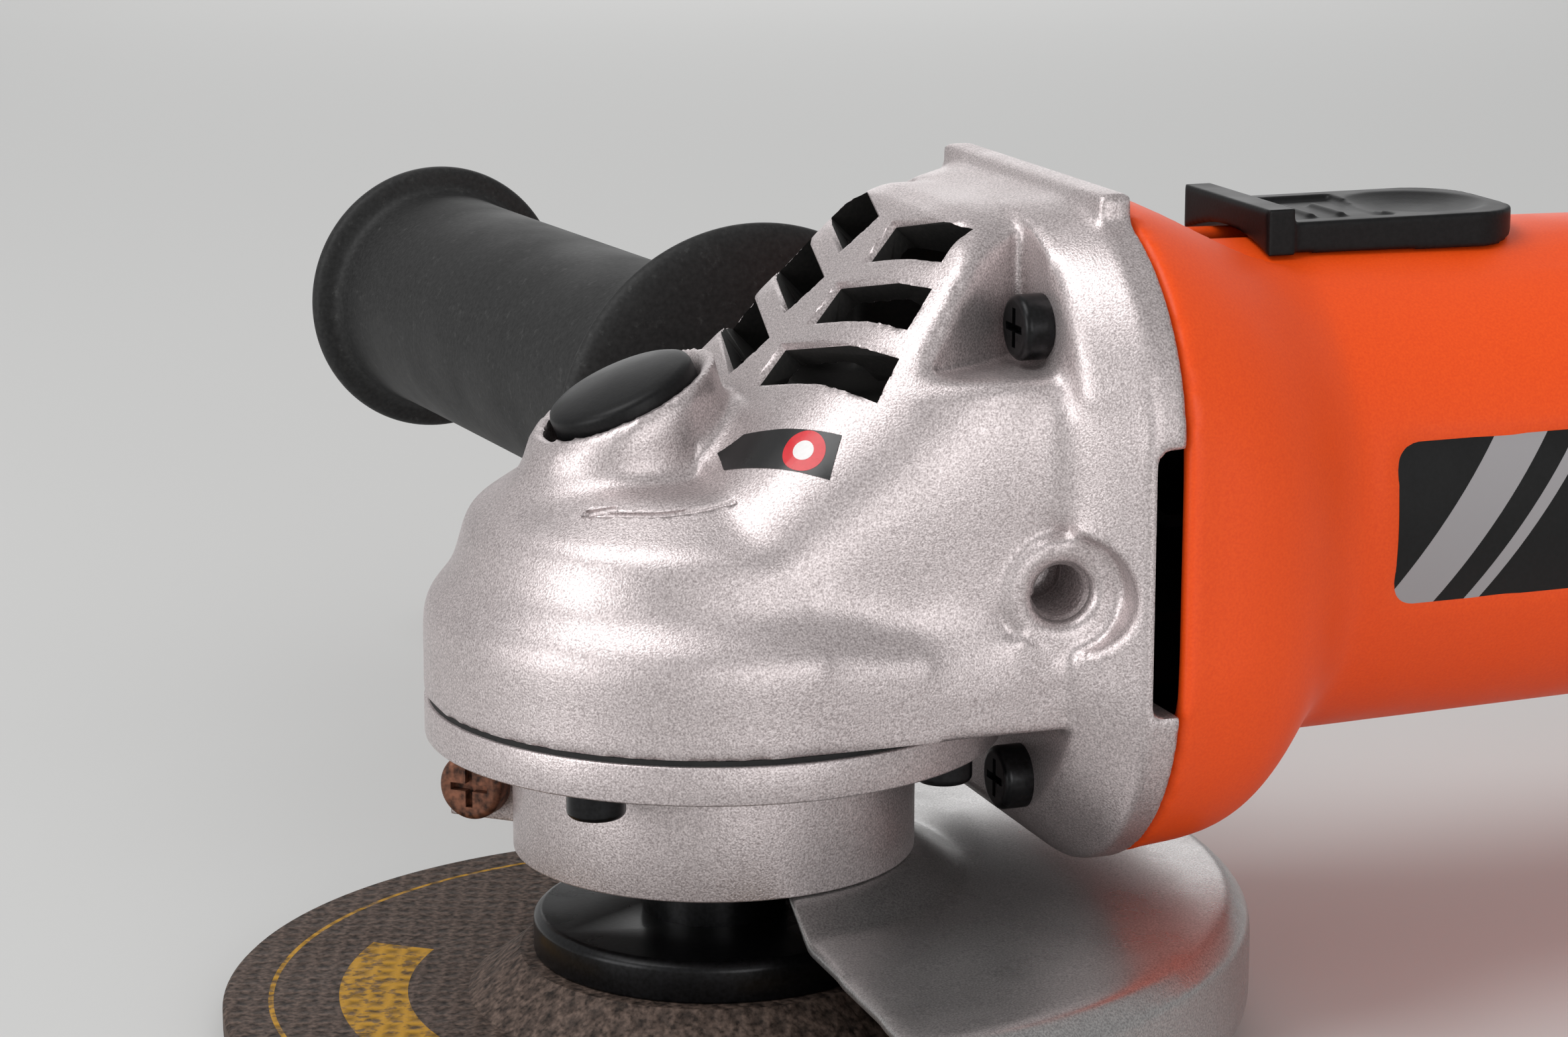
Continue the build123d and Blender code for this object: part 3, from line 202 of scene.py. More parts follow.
def grained(name, low, high, grain_mm, mottle_mm, roughness, bump_mm, metallic=0.0, marks=None, **sockets):
    """Surface with a fine grain in colour and height and a slow mottle in its gloss."""
    material, tree, place = new_material(name)
    grain = add(tree, "ShaderNodeTexNoise", {
        "Vector": (place, "Object"), "Scale": per_mm(grain_mm), "Detail": 2.0})
    mottle = add(tree, "ShaderNodeTexNoise", {
        "Vector": (place, "Object"), "Scale": per_mm(mottle_mm), "Detail": 3.0})
    tint = add(tree, "ShaderNodeValToRGB", {"Fac": (grain, "Fac")})
    for element, position, code in zip(tint.color_ramp.elements, GRAIN_RANGE, (low, high)):
        element.position = position
        element.color = linear(code)
    gloss = add(tree, "ShaderNodeMapRange", {
        "Value": (mottle, "Fac"), "From Min": GRAIN_RANGE[0], "From Max": GRAIN_RANGE[1],
        "To Min": roughness - GLOSS_SPREAD, "To Max": roughness + GLOSS_SPREAD})
    bump = add(tree, "ShaderNodeBump", {
        "Height": (grain, "Fac"), "Strength": 0.35, "Distance": bump_mm * MM})
    colour = (tint, "Color")
    if marks:
        colour, bump = marks(tree, place, colour, bump)
    shader = add(tree, "ShaderNodeBsdfPrincipled", {
        "Base Color": colour, "Roughness": (gloss, "Result"), "Normal": (bump, "Normal"),
        "Metallic": metallic, **sockets})
    add(tree, "ShaderNodeOutputMaterial", {"Surface": (shader, "BSDF")})
    return material


def stripe(tree, value, low, high):
    """1 where the value lies between low and high, else 0."""
    middle, half = (low + high) / 2, (high - low) / 2
    return add(tree, "ShaderNodeMath", {0: value, 1: middle, 2: half}, operation="COMPARE"), "Value"


def cast_aluminium():
    # Shot-blasted and lacquered casting: a bright, even silver that breaks into fine sparkling grit.
    return grained("cast_aluminium", "#a09696", "#e4dada", grain_mm=0.22, mottle_mm=9.0,
                   roughness=0.42, bump_mm=0.12, metallic=0.8)


def duct_painted_shade():
    # Painted shade for the inside of the air duct: near black, so the vents read as deep holes.
    return grained("duct_painted_shade", "#0a0908", "#1a1715", grain_mm=0.5, mottle_mm=6.0,
                   roughness=0.7, bump_mm=0.1, metallic=0.2)


def orange_nylon():
    # Glass-filled nylon moulded in a spark-eroded tool: strong orange with a soft, broad sheen.
    return grained("orange_nylon", "#f04c0c", "#f85612", grain_mm=0.3, mottle_mm=14.0,
                   roughness=0.46, bump_mm=0.03, **{SHEEN: 0.35})


def black_rubber():
    # Moulded rubber grip: charcoal, dull, with a little pale dust in its pores.
    return grained("black_rubber", "#161616", "#272727", grain_mm=0.6, mottle_mm=12.0,
                   roughness=0.6, bump_mm=0.08, marks=dust, **{SHEEN: 0.35})


def satin_black():
    # Moulded acetal: near black with a satin sheen on its rounded edges.
    return grained("satin_black", "#0a0a0b", "#141415", grain_mm=0.4, mottle_mm=10.0,
                   roughness=0.44, bump_mm=0.03, **{SHEEN: 0.22})


def blackened_steel():
    # Oil-blackened turned steel: black with a tight highlight.
    return grained("blackened_steel", "#0c0c0d", "#1c1c1e", grain_mm=0.5, mottle_mm=8.0,
                   roughness=0.3, bump_mm=0.02, metallic=0.6)


def bright_steel():
    # Turned and ground steel, lightly oiled.
    return grained("bright_steel", "#a9a9aa", "#c8c8c8", grain_mm=0.6, mottle_mm=6.0,
                   roughness=0.28, bump_mm=0.02, metallic=1.0)


def rusty_steel():
    # Plated screw gone brown: dark rust over a dull metal.
    return grained("rusty_steel", "#2c1a12", "#8a5a44", grain_mm=0.9, mottle_mm=3.0,
                   roughness=0.5, bump_mm=0.1, metallic=0.5)


def silver_paint():
    # Metallic paint on pressed steel: mid grey with a sparkle of flake and a soft gloss.
    return grained("silver_paint", "#8a8888", "#bdbbba", grain_mm=0.22, mottle_mm=10.0,
                   roughness=0.3, bump_mm=0.04, metallic=0.8)


def copper_wire():
    # Enamelled copper: warm red brown.
    return grained("copper_wire", "#8f4a24", "#b8683a", grain_mm=0.8, mottle_mm=5.0,
                   roughness=0.35, bump_mm=0.1, metallic=0.8)


def pressed_carbon():
    # Pressed carbon brush: dull dark grey.
    return grained("pressed_carbon", "#1d1d1e", "#2b2b2c", grain_mm=0.4, mottle_mm=4.0,
                   roughness=0.6, bump_mm=0.05)


def gasket_sheet():
    # Cut gasket sheet: a matt black line in the seam.
    return grained("gasket_sheet", "#0b0b0b", "#141414", grain_mm=0.5, mottle_mm=6.0,
                   roughness=0.7, bump_mm=0.05)


def print_red():
    # Red ink on a glossy vinyl sticker.
    return grained("print_red", "#c4121f", "#cd1724", grain_mm=0.5, mottle_mm=6.0,
                   roughness=0.3, bump_mm=0.01)


def print_black():
    # Black ink on a glossy vinyl sticker.
    return grained("print_black", "#0f0f10", "#161617", grain_mm=0.5, mottle_mm=6.0,
                   roughness=0.3, bump_mm=0.01)


def print_white():
    # White vinyl showing through the ink.
    return grained("print_white", "#d6d4d3", "#dddbda", grain_mm=0.5, mottle_mm=6.0,
                   roughness=0.3, bump_mm=0.01)


def dust(tree, place, colour, bump):
    """Pale dust specks and streaks on the grip."""
    specks = add(tree, "ShaderNodeTexNoise", {
        "Vector": (place, "Object"), "Scale": per_mm(DUST_SPECK), "Detail": 6.0, "Roughness": 0.7})
    amount = add(tree, "ShaderNodeMapRange", {
        "Value": (specks, "Fac"), "From Min": 0.58, "From Max": 0.8, "To Min": 0.0, "To Max": 0.35})
    dusty = add(tree, "ShaderNodeMix", {
        0: (amount, "Result"), 6: colour, 7: linear("#6b6b6a")}, data_type="RGBA")
    return (dusty, 2), bump


def print_ink(tree, place):
    """Amount of the wheel's printed ring and blocks, worn off in places."""
    flat = add(tree, "ShaderNodeMapping", {"Vector": (place, "Object"), "Scale": (1.0, 1.0, 0.0)})
    radius = add(tree, "ShaderNodeVectorMath", {0: (flat, "Vector")}, operation="LENGTH"), "Value"
    split = add(tree, "ShaderNodeSeparateXYZ", {"Vector": (place, "Object")})
    turn = add(tree, "ShaderNodeMath", {0: (split, "Y"), 1: (split, "X")}, operation="ARCTAN2")
    blocks = add(tree, "ShaderNodeMath", {
        0: (turn, "Value"), 1: PRINT_BLOCKS / (2 * math.pi)}, operation="MULTIPLY")
    sector = add(tree, "ShaderNodeMath", {0: (blocks, "Value")}, operation="FRACT"), "Value"
    line = stripe(tree, radius, *(r * MM for r in PRINT_LINE))
    band = stripe(tree, radius, *(r * MM for r in PRINT_BAND))
    arc = stripe(tree, sector, *PRINT_ARC)
    printed = add(tree, "ShaderNodeMath", {0: band, 1: arc}, operation="MULTIPLY")
    ink = add(tree, "ShaderNodeMath", {0: line, 1: (printed, "Value")}, operation="MAXIMUM")
    worn = add(tree, "ShaderNodeTexNoise", {
        "Vector": (place, "Object"), "Scale": per_mm(PRINT_WEAR), "Detail": 5.0})
    kept = add(tree, "ShaderNodeMapRange", {
        "Value": (worn, "Fac"), "From Min": 0.38, "From Max": 0.5, "To Min": 0.25, "To Max": 1.0})
    amount = add(tree, "ShaderNodeMath", {0: (ink, "Value"), 1: (kept, "Result")}, operation="MULTIPLY")
    return amount, "Value"


def wheel_print(tree, place, colour, bump):
    """Plain printed ring with blocks in ochre, and the glass mesh pressed into the wheel."""
    printed = add(tree, "ShaderNodeMix", {
        0: print_ink(tree, place), 6: colour, 7: linear("#b98a2a")}, data_type="RGBA")
    threads = []
    for degrees in MESH_TURNS:
        turned = add(tree, "ShaderNodeMapping", {
            "Vector": (place, "Object"), "Rotation": (0.0, 0.0, math.radians(degrees))})
        threads.append(add(tree, "ShaderNodeTexWave", {
            "Vector": (turned, "Vector"), "Scale": per_mm(MESH_PITCH) * WAVE_SPACING,
            "Distortion": 1.2, "Detail": 2.0, "Detail Scale": 1.5}, bands_direction="X"))
    warp, weft = threads
    weave = add(tree, "ShaderNodeMath", {0: (warp, "Fac"), 1: (weft, "Fac")}, operation="MAXIMUM"), "Value"
    pressed = add(tree, "ShaderNodeBump", {
        "Height": weave, "Strength": 0.6, "Distance": MESH_DEPTH * MM, "Normal": (bump, "Normal")})
    shade = add(tree, "ShaderNodeMapRange", {"Value": weave, "To Min": 0.45, "To Max": 1.0})
    darker = add(tree, "ShaderNodeMix", {
        0: 1.0, 6: (printed, 2), 7: (shade, "Result")}, data_type="RGBA", blend_type="MULTIPLY")
    return (darker, 2), pressed


def badge_bars(tree, place, colour, bump):
    """Two plain slanted silver bars on the black badge."""
    split = add(tree, "ShaderNodeSeparateXYZ", {"Vector": (place, "Object")})
    lean = add(tree, "ShaderNodeMath", {0: (split, "Z"), 1: BADGE_SLANT}, operation="MULTIPLY")
    slanted = add(tree, "ShaderNodeMath", {
        0: (split, "X"), 1: (lean, "Value")}, operation="SUBTRACT"), "Value"
    wide = stripe(tree, slanted, *(x * MM for x in BADGE_WIDE))
    thin = stripe(tree, slanted, *(x * MM for x in BADGE_THIN))
    bars = add(tree, "ShaderNodeMath", {0: wide, 1: thin}, operation="MAXIMUM")
    barred = add(tree, "ShaderNodeMix", {
        0: (bars, "Value"), 6: colour, 7: linear("#a3a0a2")}, data_type="RGBA")
    return (barred, 2), bump


def resin_abrasive():
    # Resin-bonded abrasive: brown black and gritty, with the glass mesh pressed into it.
    return grained("resin_abrasive", "#2a211c", "#6c5b52", grain_mm=0.7, mottle_mm=8.0,
                   roughness=0.7, bump_mm=0.3, marks=wheel_print, **{SHEEN: 0.25})


def badge_film():
    # Printed badge: glossy black film with plain silver bars.
    return grained("badge_film", "#090909", "#101011", grain_mm=0.5, mottle_mm=8.0,
                   roughness=0.34, bump_mm=0.01, marks=badge_bars, **{SHEEN: 0.3})


finishes = {
    "cast_aluminium": cast_aluminium(),
    "steel": bright_steel(),
    "black_steel": blackened_steel(),
    "guard_paint": silver_paint(),
    "orange_nylon": orange_nylon(),
    "black_rubber": black_rubber(),
    "black_plastic": satin_black(),
    "resin_abrasive": resin_abrasive(),
    "copper": copper_wire(),
    "carbon": pressed_carbon(),
    "gasket": gasket_sheet(),
}
own_finish = {
    "badge_plate": badge_film(),
    "guard_bolt": rusty_steel(),
    "guard_collar": finishes["cast_aluminium"],
    "spindle": finishes["black_steel"],
}

for name, node in nodes.items():
    node.data.materials.clear()
    node.data.materials.append(own_finish.get(name, finishes[slot_of[name]]))


# Modelling helpers

def make_active(piece):
    bpy.ops.object.select_all(action="DESELECT")
    piece.select_set(True)
    bpy.context.view_layer.objects.active = piece


def copy_of(name, called):
    """A welded copy of a CAD node, to be dressed and shown in its place."""
    piece = bpy.data.objects.new(called, nodes[name].data.copy())
    bpy.context.scene.collection.objects.link(piece)
    make_active(piece)
    bpy.ops.object.mode_set(mode="EDIT")
    bpy.ops.mesh.select_all(action="SELECT")
    bpy.ops.mesh.remove_doubles(threshold=WELD)
    bpy.ops.object.mode_set(mode="OBJECT")
    return piece


def apply_modifier(piece, kind, **settings):
    make_active(piece)
    modifier = piece.modifiers.new(kind.lower(), kind)
    for name, value in settings.items():
        setattr(modifier, name, value)
    bpy.ops.object.modifier_apply(modifier=modifier.name)


def smooth_shading(piece, degrees):
    """Smooth shading over every edge that turns less than the angle."""
    make_active(piece)
    bpy.ops.object.shade_smooth_by_angle(angle=math.radians(degrees))


def soft_skin(piece, voxel_mm, repeat):
    """Remeshes the piece evenly and smooths it, so that its edges turn soft."""
    apply_modifier(piece, "REMESH", mode="VOXEL", voxel_size=voxel_mm * MM)
    apply_modifier(piece, "SMOOTH", factor=0.5, iterations=repeat)
    make_active(piece)
    bpy.ops.object.shade_smooth()


def set_in_place(piece, matrix):
    """Puts the piece's place in its mesh, with the object left at the origin."""
    piece.matrix_world = matrix
    make_active(piece)
    bpy.ops.object.transform_apply(location=True, rotation=True, scale=True)


def pointing(place, direction):
    """Matrix that stands a piece at the place with its Z along the direction."""
    return Matrix.Translation(place) @ Vector(direction).to_track_quat("Z", "Y").to_matrix().to_4x4()


def settle(piece, body, slot, *replaced):
    """Gives the piece its finish if it has none, parents it to its body and hides the CAD nodes that it
    stands for.
    """
    if not piece.data.materials:
        piece.data.materials.append(finishes[slot])
    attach(piece, body)
    if replaced:
        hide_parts(*replaced)
    return piece


def broken_edges(name):
    """A CAD node with its sharp edges broken to a small radius, as moulding and blasting leave them."""
    piece = copy_of(name, name + "_soft")
    bpy.ops.object.mode_set(mode="EDIT")
    bpy.ops.mesh.select_all(action="SELECT")
    bpy.ops.mesh.dissolve_limited(angle_limit=math.radians(0.5))
    bpy.ops.object.mode_set(mode="OBJECT")
    apply_modifier(piece, "BEVEL", width=EDGE_BREAK * MM, segments=3, limit_method="ANGLE",
                   angle_limit=math.radians(40), miter_outer="MITER_ARC", use_clamp_overlap=True)
    smooth_shading(piece, degrees=35)
    return settle(piece, body_of[name], slot_of[name], name)


def block(called, low, high):
    """Box between two corners in millimetres, shaped from a cube."""
    bpy.ops.object.select_all(action="DESELECT")
    bpy.ops.mesh.primitive_cube_add(size=1.0, location=(0, 0, 0))
    piece = bpy.context.object
    piece.name = called
    low, high = Vector(low) * MM, Vector(high) * MM
    bpy.ops.object.mode_set(mode="EDIT")
    bpy.ops.mesh.select_all(action="SELECT")
    bpy.ops.transform.resize(value=high - low, center_override=(0, 0, 0))
    bpy.ops.transform.translate(value=(low + high) / 2)
    bpy.ops.object.mode_set(mode="OBJECT")
    return piece


def carve(piece, tool, operation="DIFFERENCE"):
    """Cuts the tool from the piece, or keeps what both share, and throws the tool away."""
    apply_modifier(piece, "BOOLEAN", operation=operation, object=tool, solver="EXACT",
                   material_mode="TRANSFER")
    bpy.data.objects.remove(tool)


def lathe(called, rings, sides, closed=False):
    """Turned piece about Z: a circle drawn out through (radius, height) pairs in millimetres."""
    bpy.ops.object.select_all(action="DESELECT")
    radius, height = rings[0]
    bpy.ops.mesh.primitive_circle_add(
        vertices=sides, radius=radius * MM, location=(0, 0, 0), fill_type="NOTHING" if closed else "NGON")
    piece = bpy.context.object
    piece.name = called
    bpy.ops.object.mode_set(mode="EDIT")
    bpy.ops.mesh.select_all(action="SELECT")
    bpy.ops.transform.translate(value=(0, 0, height * MM))
    for next_radius, next_height in rings[1:] + (rings[:1] if closed else []):
        step = (0, 0, (next_height - height) * MM)
        bpy.ops.mesh.extrude_region_move(TRANSFORM_OT_translate={"value": step})
        scale = next_radius / radius
        bpy.ops.transform.resize(value=(scale, scale, 1), center_override=(0, 0, next_height * MM))
        radius, height = next_radius, next_height
    bpy.ops.mesh.select_all(action="SELECT")
    bpy.ops.mesh.remove_doubles(threshold=WELD)
    bpy.ops.mesh.normals_make_consistent(inside=False)
    bpy.ops.object.mode_set(mode="OBJECT")
    return piece


# Gear case: a blasted casting, soft everywhere but at its openings and joints

def in_chamber(spot):
    """True in the gear chamber and its wall."""
    x, y, z = (c / MM for c in spot)
    return any(math.hypot(x, y) < radius and z < top for radius, top in CHAMBER)


def keeps_crisp(spot):
    """True inside the case and near its openings and joints, where edges stay tight."""
    x, y, z = (c / MM for c in spot)
    beside_pocket = POCKET_Y + POCKET_SPREAD * (POCKET_X - x) - POCKET_EDGE
    at_vents = z > x + SLOPE_Z0 - VENT_DROP and abs(y) < min(VENT_HALF, beside_pocket) and x > VENT_X
    in_duct = x > 0 and abs(y) < VENT_HALF and z < x + SLOPE_Z0 - VENT_DROP
    at_lock = math.hypot(x - LOCK_X, y) < LOCK_CRISP_R
    at_handle = math.hypot(x - HANDLE_X, z - HANDLE_Z) < HANDLE_CRISP_R
    at_joint = x > FLANGE_X or z < SEAM_Z + SEAM_CRISP
    return in_chamber(spot) or at_vents or in_duct or at_lock or at_handle or at_joint


def in_air_duct(spot):
    """True on the walls behind the vents."""
    x, y, z = (c / MM for c in spot)
    half = DUCT_WING_HALF if x < DUCT_WING_X else DUCT_HALF
    return x > DUCT_X and abs(y) < half and DUCT_FLOOR_Z < z < min(x + SLOPE_Z0 - DUCT_DEPTH, DUCT_ROOF_Z)


def in_valley(spot):
    """True between the lock boss and the slope, where the casting flows from one into the other."""
    x, y, z = (c / MM for c in spot)
    return VALLEY_X[0] < x < VALLEY_X[1] and abs(y) < VALLEY_HALF and z > VALLEY_Z


def on_flank(spot, x0):
    """True where the flat side runs into the rear flange, away from the handle's seats."""
    x, y, z = (c / MM for c in spot)
    beside = math.hypot(x - HANDLE_X, z - HANDLE_Z) > HANDLE_CRISP_R
    in_zone = x0 < x < FLANK_X1 and FLANK_Z[0] < z < FLANK_Z[1] and abs(y) > FLANK_Y
    return in_zone and beside and not in_chamber(spot)


def soften(piece, chosen, repeat):
    """Smooths the vertices at chosen spots."""
    mesh = piece.data
    for part in (mesh.polygons, mesh.edges, mesh.vertices):
        part.foreach_set("select", [False] * len(part))
    for vertex in mesh.vertices:
        vertex.select = chosen(vertex.co)
    make_active(piece)
    bpy.ops.object.mode_set(mode="EDIT")
    bpy.ops.mesh.vertices_smooth(factor=0.5, repeat=repeat)
    bpy.ops.object.mode_set(mode="OBJECT")


def vent_tool(called, flare, low, high, finish):
    """Six slots in the slope's own frame, wider at the top by the flare, joined into one cutter."""
    slots = []
    for row in range(VENT_ROWS):
        x = VENT_FIRST_X + row * VENT_PITCH
        foot = Matrix.Translation(Vector((x, 0, SLOPE_Z0 + x)) * MM)
        slope = foot @ Matrix.Rotation(math.radians(-SLOPE_TILT), 4, "Y")
        for side in (-1, 1):
            y0, y1 = sorted((-side * VENT_CLEAN, side * (VENT_LEN - row * VENT_SHRINK + VENT_END_CLEAN)))
            half = VENT_HALF_W + VENT_CLEAN
            slot = block(called, (-half, y0, low), (half, y1, high))
            bpy.ops.object.mode_set(mode="EDIT")
            bpy.ops.mesh.select_all(action="DESELECT")
            bpy.ops.object.mode_set(mode="OBJECT")
            for vertex in slot.data.vertices:
                vertex.select = vertex.co.z > (low + high) / 2 * MM
            wide = 1 + flare / half
            long = 1 + flare / ((y1 - y0) / 2)
            bpy.ops.object.mode_set(mode="EDIT")
            bpy.ops.transform.resize(value=(wide, long, 1), center_override=(0, (y0 + y1) / 2 * MM, 0))
            bpy.ops.object.mode_set(mode="OBJECT")
            swept = Matrix.Rotation(math.radians(-side * VENT_SWEEP), 4, "Z")
            set_in_place(slot, slope @ Matrix.Translation((0, side * VENT_GAP / 2 * MM, 0)) @ swept)
            slot.data.materials.append(finish)
            slots.append(slot)
    make_active(slots[0])
    for slot in slots:
        slot.select_set(True)
    bpy.ops.object.join()
    return bpy.context.object


def gear_case():
    piece = copy_of("gear_case", "gear_case_skin")
    soft_skin(piece, CAST_VOXEL, CAST_SMOOTH)
    soften(piece, lambda spot: not keeps_crisp(spot), BLEND_SMOOTH)
    soften(piece, lambda spot: in_valley(spot) and not keeps_crisp(spot), VALLEY_SMOOTH)
    for x0, repeat in FLANK_STEPS:
        soften(piece, lambda spot: on_flank(spot, x0), repeat)
    mesh = piece.data
    aluminium, painted_shade_finish = finishes["cast_aluminium"], duct_painted_shade()
    mesh.materials.clear()
    mesh.materials.append(aluminium)
    mesh.materials.append(painted_shade_finish)
    # The walls behind the vents take the painted shade, a dark finish put where there is only shade.
    for face in mesh.polygons:
        face.material_index = 1 if in_air_duct(face.center) else 0
    carve(piece, vent_tool("vent_rim", VENT_RIM, -VENT_RIM_DEPTH, VENT_RIM_DEPTH, aluminium))
    # The slots' cut walls take the painted shade too.
    carve(piece, vent_tool("vent_slot", 0.0, -VENT_REACH, VENT_RIM_DEPTH, painted_shade_finish))
    smooth_shading(piece, degrees=50)
    return settle(piece, "base", "cast_aluminium", "gear_case")


def socket_thread():
    """Thread turns in the open handle socket: a ridge wound inside its bore."""
    bpy.ops.object.select_all(action="DESELECT")
    bpy.ops.mesh.primitive_circle_add(
        vertices=3, radius=THREAD_DEPTH * MM, location=(0, 0, 0), fill_type="NGON")
    piece = bpy.context.object
    piece.name = "socket_thread"
    bpy.ops.object.mode_set(mode="EDIT")
    bpy.ops.mesh.select_all(action="SELECT")
    bpy.ops.transform.rotate(value=math.radians(90), orient_axis="X", center_override=(0, 0, 0))
    bpy.ops.transform.translate(value=((SOCKET_R + THREAD_DEPTH * THREAD_SINK) * MM, 0, 0))
    bpy.ops.object.mode_set(mode="OBJECT")
    apply_modifier(piece, "SCREW", axis="Z", angle=2 * math.pi, screw_offset=THREAD_PITCH * MM,
                   iterations=THREAD_TURNS, steps=40, render_steps=40, use_normal_calculate=True)
    lean = math.radians(HANDLE_SWEEP)
    inward = Vector((math.sin(lean), math.cos(lean), 0))
    mouth = Vector((HANDLE_X, -HANDLE_FACE_Y, HANDLE_Z)) * MM + inward * THREAD_PITCH * MM
    set_in_place(piece, pointing(mouth, inward))
    smooth_shading(piece, degrees=50)
    return settle(piece, "base", "cast_aluminium")


# Side handle: one moulding with a thin hand guard and a lipped end

def handle_grip():
    start, end = GRIP_GAP, GRIP_GAP + GRIP_LEN
    rings = [(radius, start + far) for radius, far in GRIP_GUARD]
    rings += [(radius, end - far) for radius, far in GRIP_END]
    piece = lathe("handle_rubber", rings, sides=48)
    apply_modifier(piece, "SUBSURF", levels=2, render_levels=2)
    lean = math.radians(HANDLE_SWEEP)
    root = Vector((HANDLE_X, HANDLE_FACE_Y, HANDLE_Z)) * MM
    set_in_place(piece, pointing(root, (-math.sin(lean), math.cos(lean), 0)))
    smooth_shading(piece, degrees=60)
    return settle(piece, "base", "black_rubber", "handle_grip")


# Grinding wheel: a dished disc with a slightly rounded rim

def grinding_wheel():
    low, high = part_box("grinding_wheel")
    rim_r, bore_r = (high.x - low.x) / 2 / MM, WHEEL_BORE / 2
    face, hub_top = low.z / MM, high.z / MM
    back, hub_under = face + WHEEL_T, hub_top - WHEEL_T
    rounded = WHEEL_RIM_ROUND
    rings = [
        (bore_r, hub_under), (HUB_UNDER_R, hub_under), (HUB_BEND_R, hub_under - HUB_BEND_DROP),
        (HUB_FOOT_R, face + HUB_FOOT_RISE), (WHEEL_WEB_R, face), (rim_r - rounded, face),
        (rim_r, face + rounded), (rim_r, back - rounded), (rim_r - rounded, back), (WHEEL_WEB_R, back),
        (HUB_SKIRT_R, back), (HUB_SIDE_R, hub_top - HUB_SIDE_DROP), (HUB_TOP_R, hub_top), (bore_r, hub_top),
    ]
    piece = lathe("abrasive_disc", rings, sides=160, closed=True)
    smooth_shading(piece, degrees=30)
    return settle(piece, "spindle", "resin_abrasive", "grinding_wheel")


# Spindle lock: a crowned cap, leaning with its boss

def lock_button():
    rings = list(LOCK_UNDER)
    rings += [(LOCK_R - inset, height) for inset, height in LOCK_LOW_EDGE]
    rings += [(LOCK_R - inset, LOCK_PROUD + rise) for inset, rise in LOCK_TOP_EDGE]
    rings += [(radius, LOCK_PROUD + rise) for radius, rise in LOCK_CROWN]
    piece = lathe("lock_cap", rings, sides=72)
    lean = math.radians(LOCK_TILT)
    seat = Vector((LOCK_X, 0, LOCK_FACE_Z)) * MM
    set_in_place(piece, pointing(seat, (-math.sin(lean), 0, math.cos(lean))))
    smooth_shading(piece, degrees=50)
    return settle(piece, "lock", "black_plastic", "lock_button")


# Lock spring: a smooth-shaded copy of the coil, set in the CAD node's place

def lock_spring():
    piece = copy_of("lock_spring", "lock_coil")
    smooth_shading(piece, degrees=40)
    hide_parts("lock_spring")
    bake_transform(piece)


# Motor housing: the switch's seat follows the round barrel

def barrel_radius(x):
    """Radius of the tapered barrel at a place along the motor."""
    return BARREL_R + (BARREL_END_R - BARREL_R) * (x - FLARE_END_X) / (HOUSING_END_X - FLARE_END_X)


def along_motor(piece):
    """Lays a piece turned about Z along the motor's axis."""
    set_in_place(piece, pointing((0, 0, MOTOR_Z * MM), (1, 0, 0)))


def motor_housing():
    piece = copy_of("motor_housing", "housing_shell")
    spans = (
        (RECESS_X, FLARE_END_X + RECESS_LAP, RECESS_HALF, RECESS_DROP),
        (FLARE_END_X, SEAT_END_X, SEAT_HALF, 0.0),
    )
    for x0, x1, half, drop in spans:
        rings = [(barrel_radius(x0) - drop, x0), (barrel_radius(x1) - drop, x1),
                 (SEAT_TRIM_R, x1), (SEAT_TRIM_R, x0)]
        trim = lathe("seat_trim", rings, sides=256, closed=True)
        along_motor(trim)
        keep = block("seat_span", (0, -half, MOTOR_Z), (SEAT_REACH, half, SEAT_REACH))
        carve(trim, keep, "INTERSECT")
        carve(piece, trim)
    soft_skin(piece, HOUSING_VOXEL, HOUSING_SMOOTH)
    return settle(piece, "base", "orange_nylon", "motor_housing")


# Switch: a low cap with an upright lip, a sunk panel and a thumb hollow

def slider_cap():
    """Plain cap with its two rear corners rounded."""
    low, high = (SLIDER_X0, -SLIDER_HALF, SLIDER_FOOT_Z), (SLIDER_X1, SLIDER_HALF, SLIDER_TOP)
    piece = block("switch_cap", low, high)
    make_active(piece)
    bpy.ops.object.mode_set(mode="EDIT")
    bpy.ops.mesh.select_mode(type="EDGE")
    bpy.ops.mesh.select_all(action="DESELECT")
    bpy.ops.object.mode_set(mode="OBJECT")
    for edge in piece.data.edges:
        ends = [piece.data.vertices[v].co for v in edge.vertices]
        at_rear = all(abs(end.x - SLIDER_X1 * MM) < WELD for end in ends)
        edge.select = at_rear and abs(ends[0].y - ends[1].y) < WELD
    bpy.ops.object.mode_set(mode="EDIT")
    bpy.ops.mesh.bevel(offset=SLIDER_END_ROUND * MM, segments=12, affect="EDGES")
    bpy.ops.mesh.select_mode(type="VERT")
    bpy.ops.object.mode_set(mode="OBJECT")
    return piece


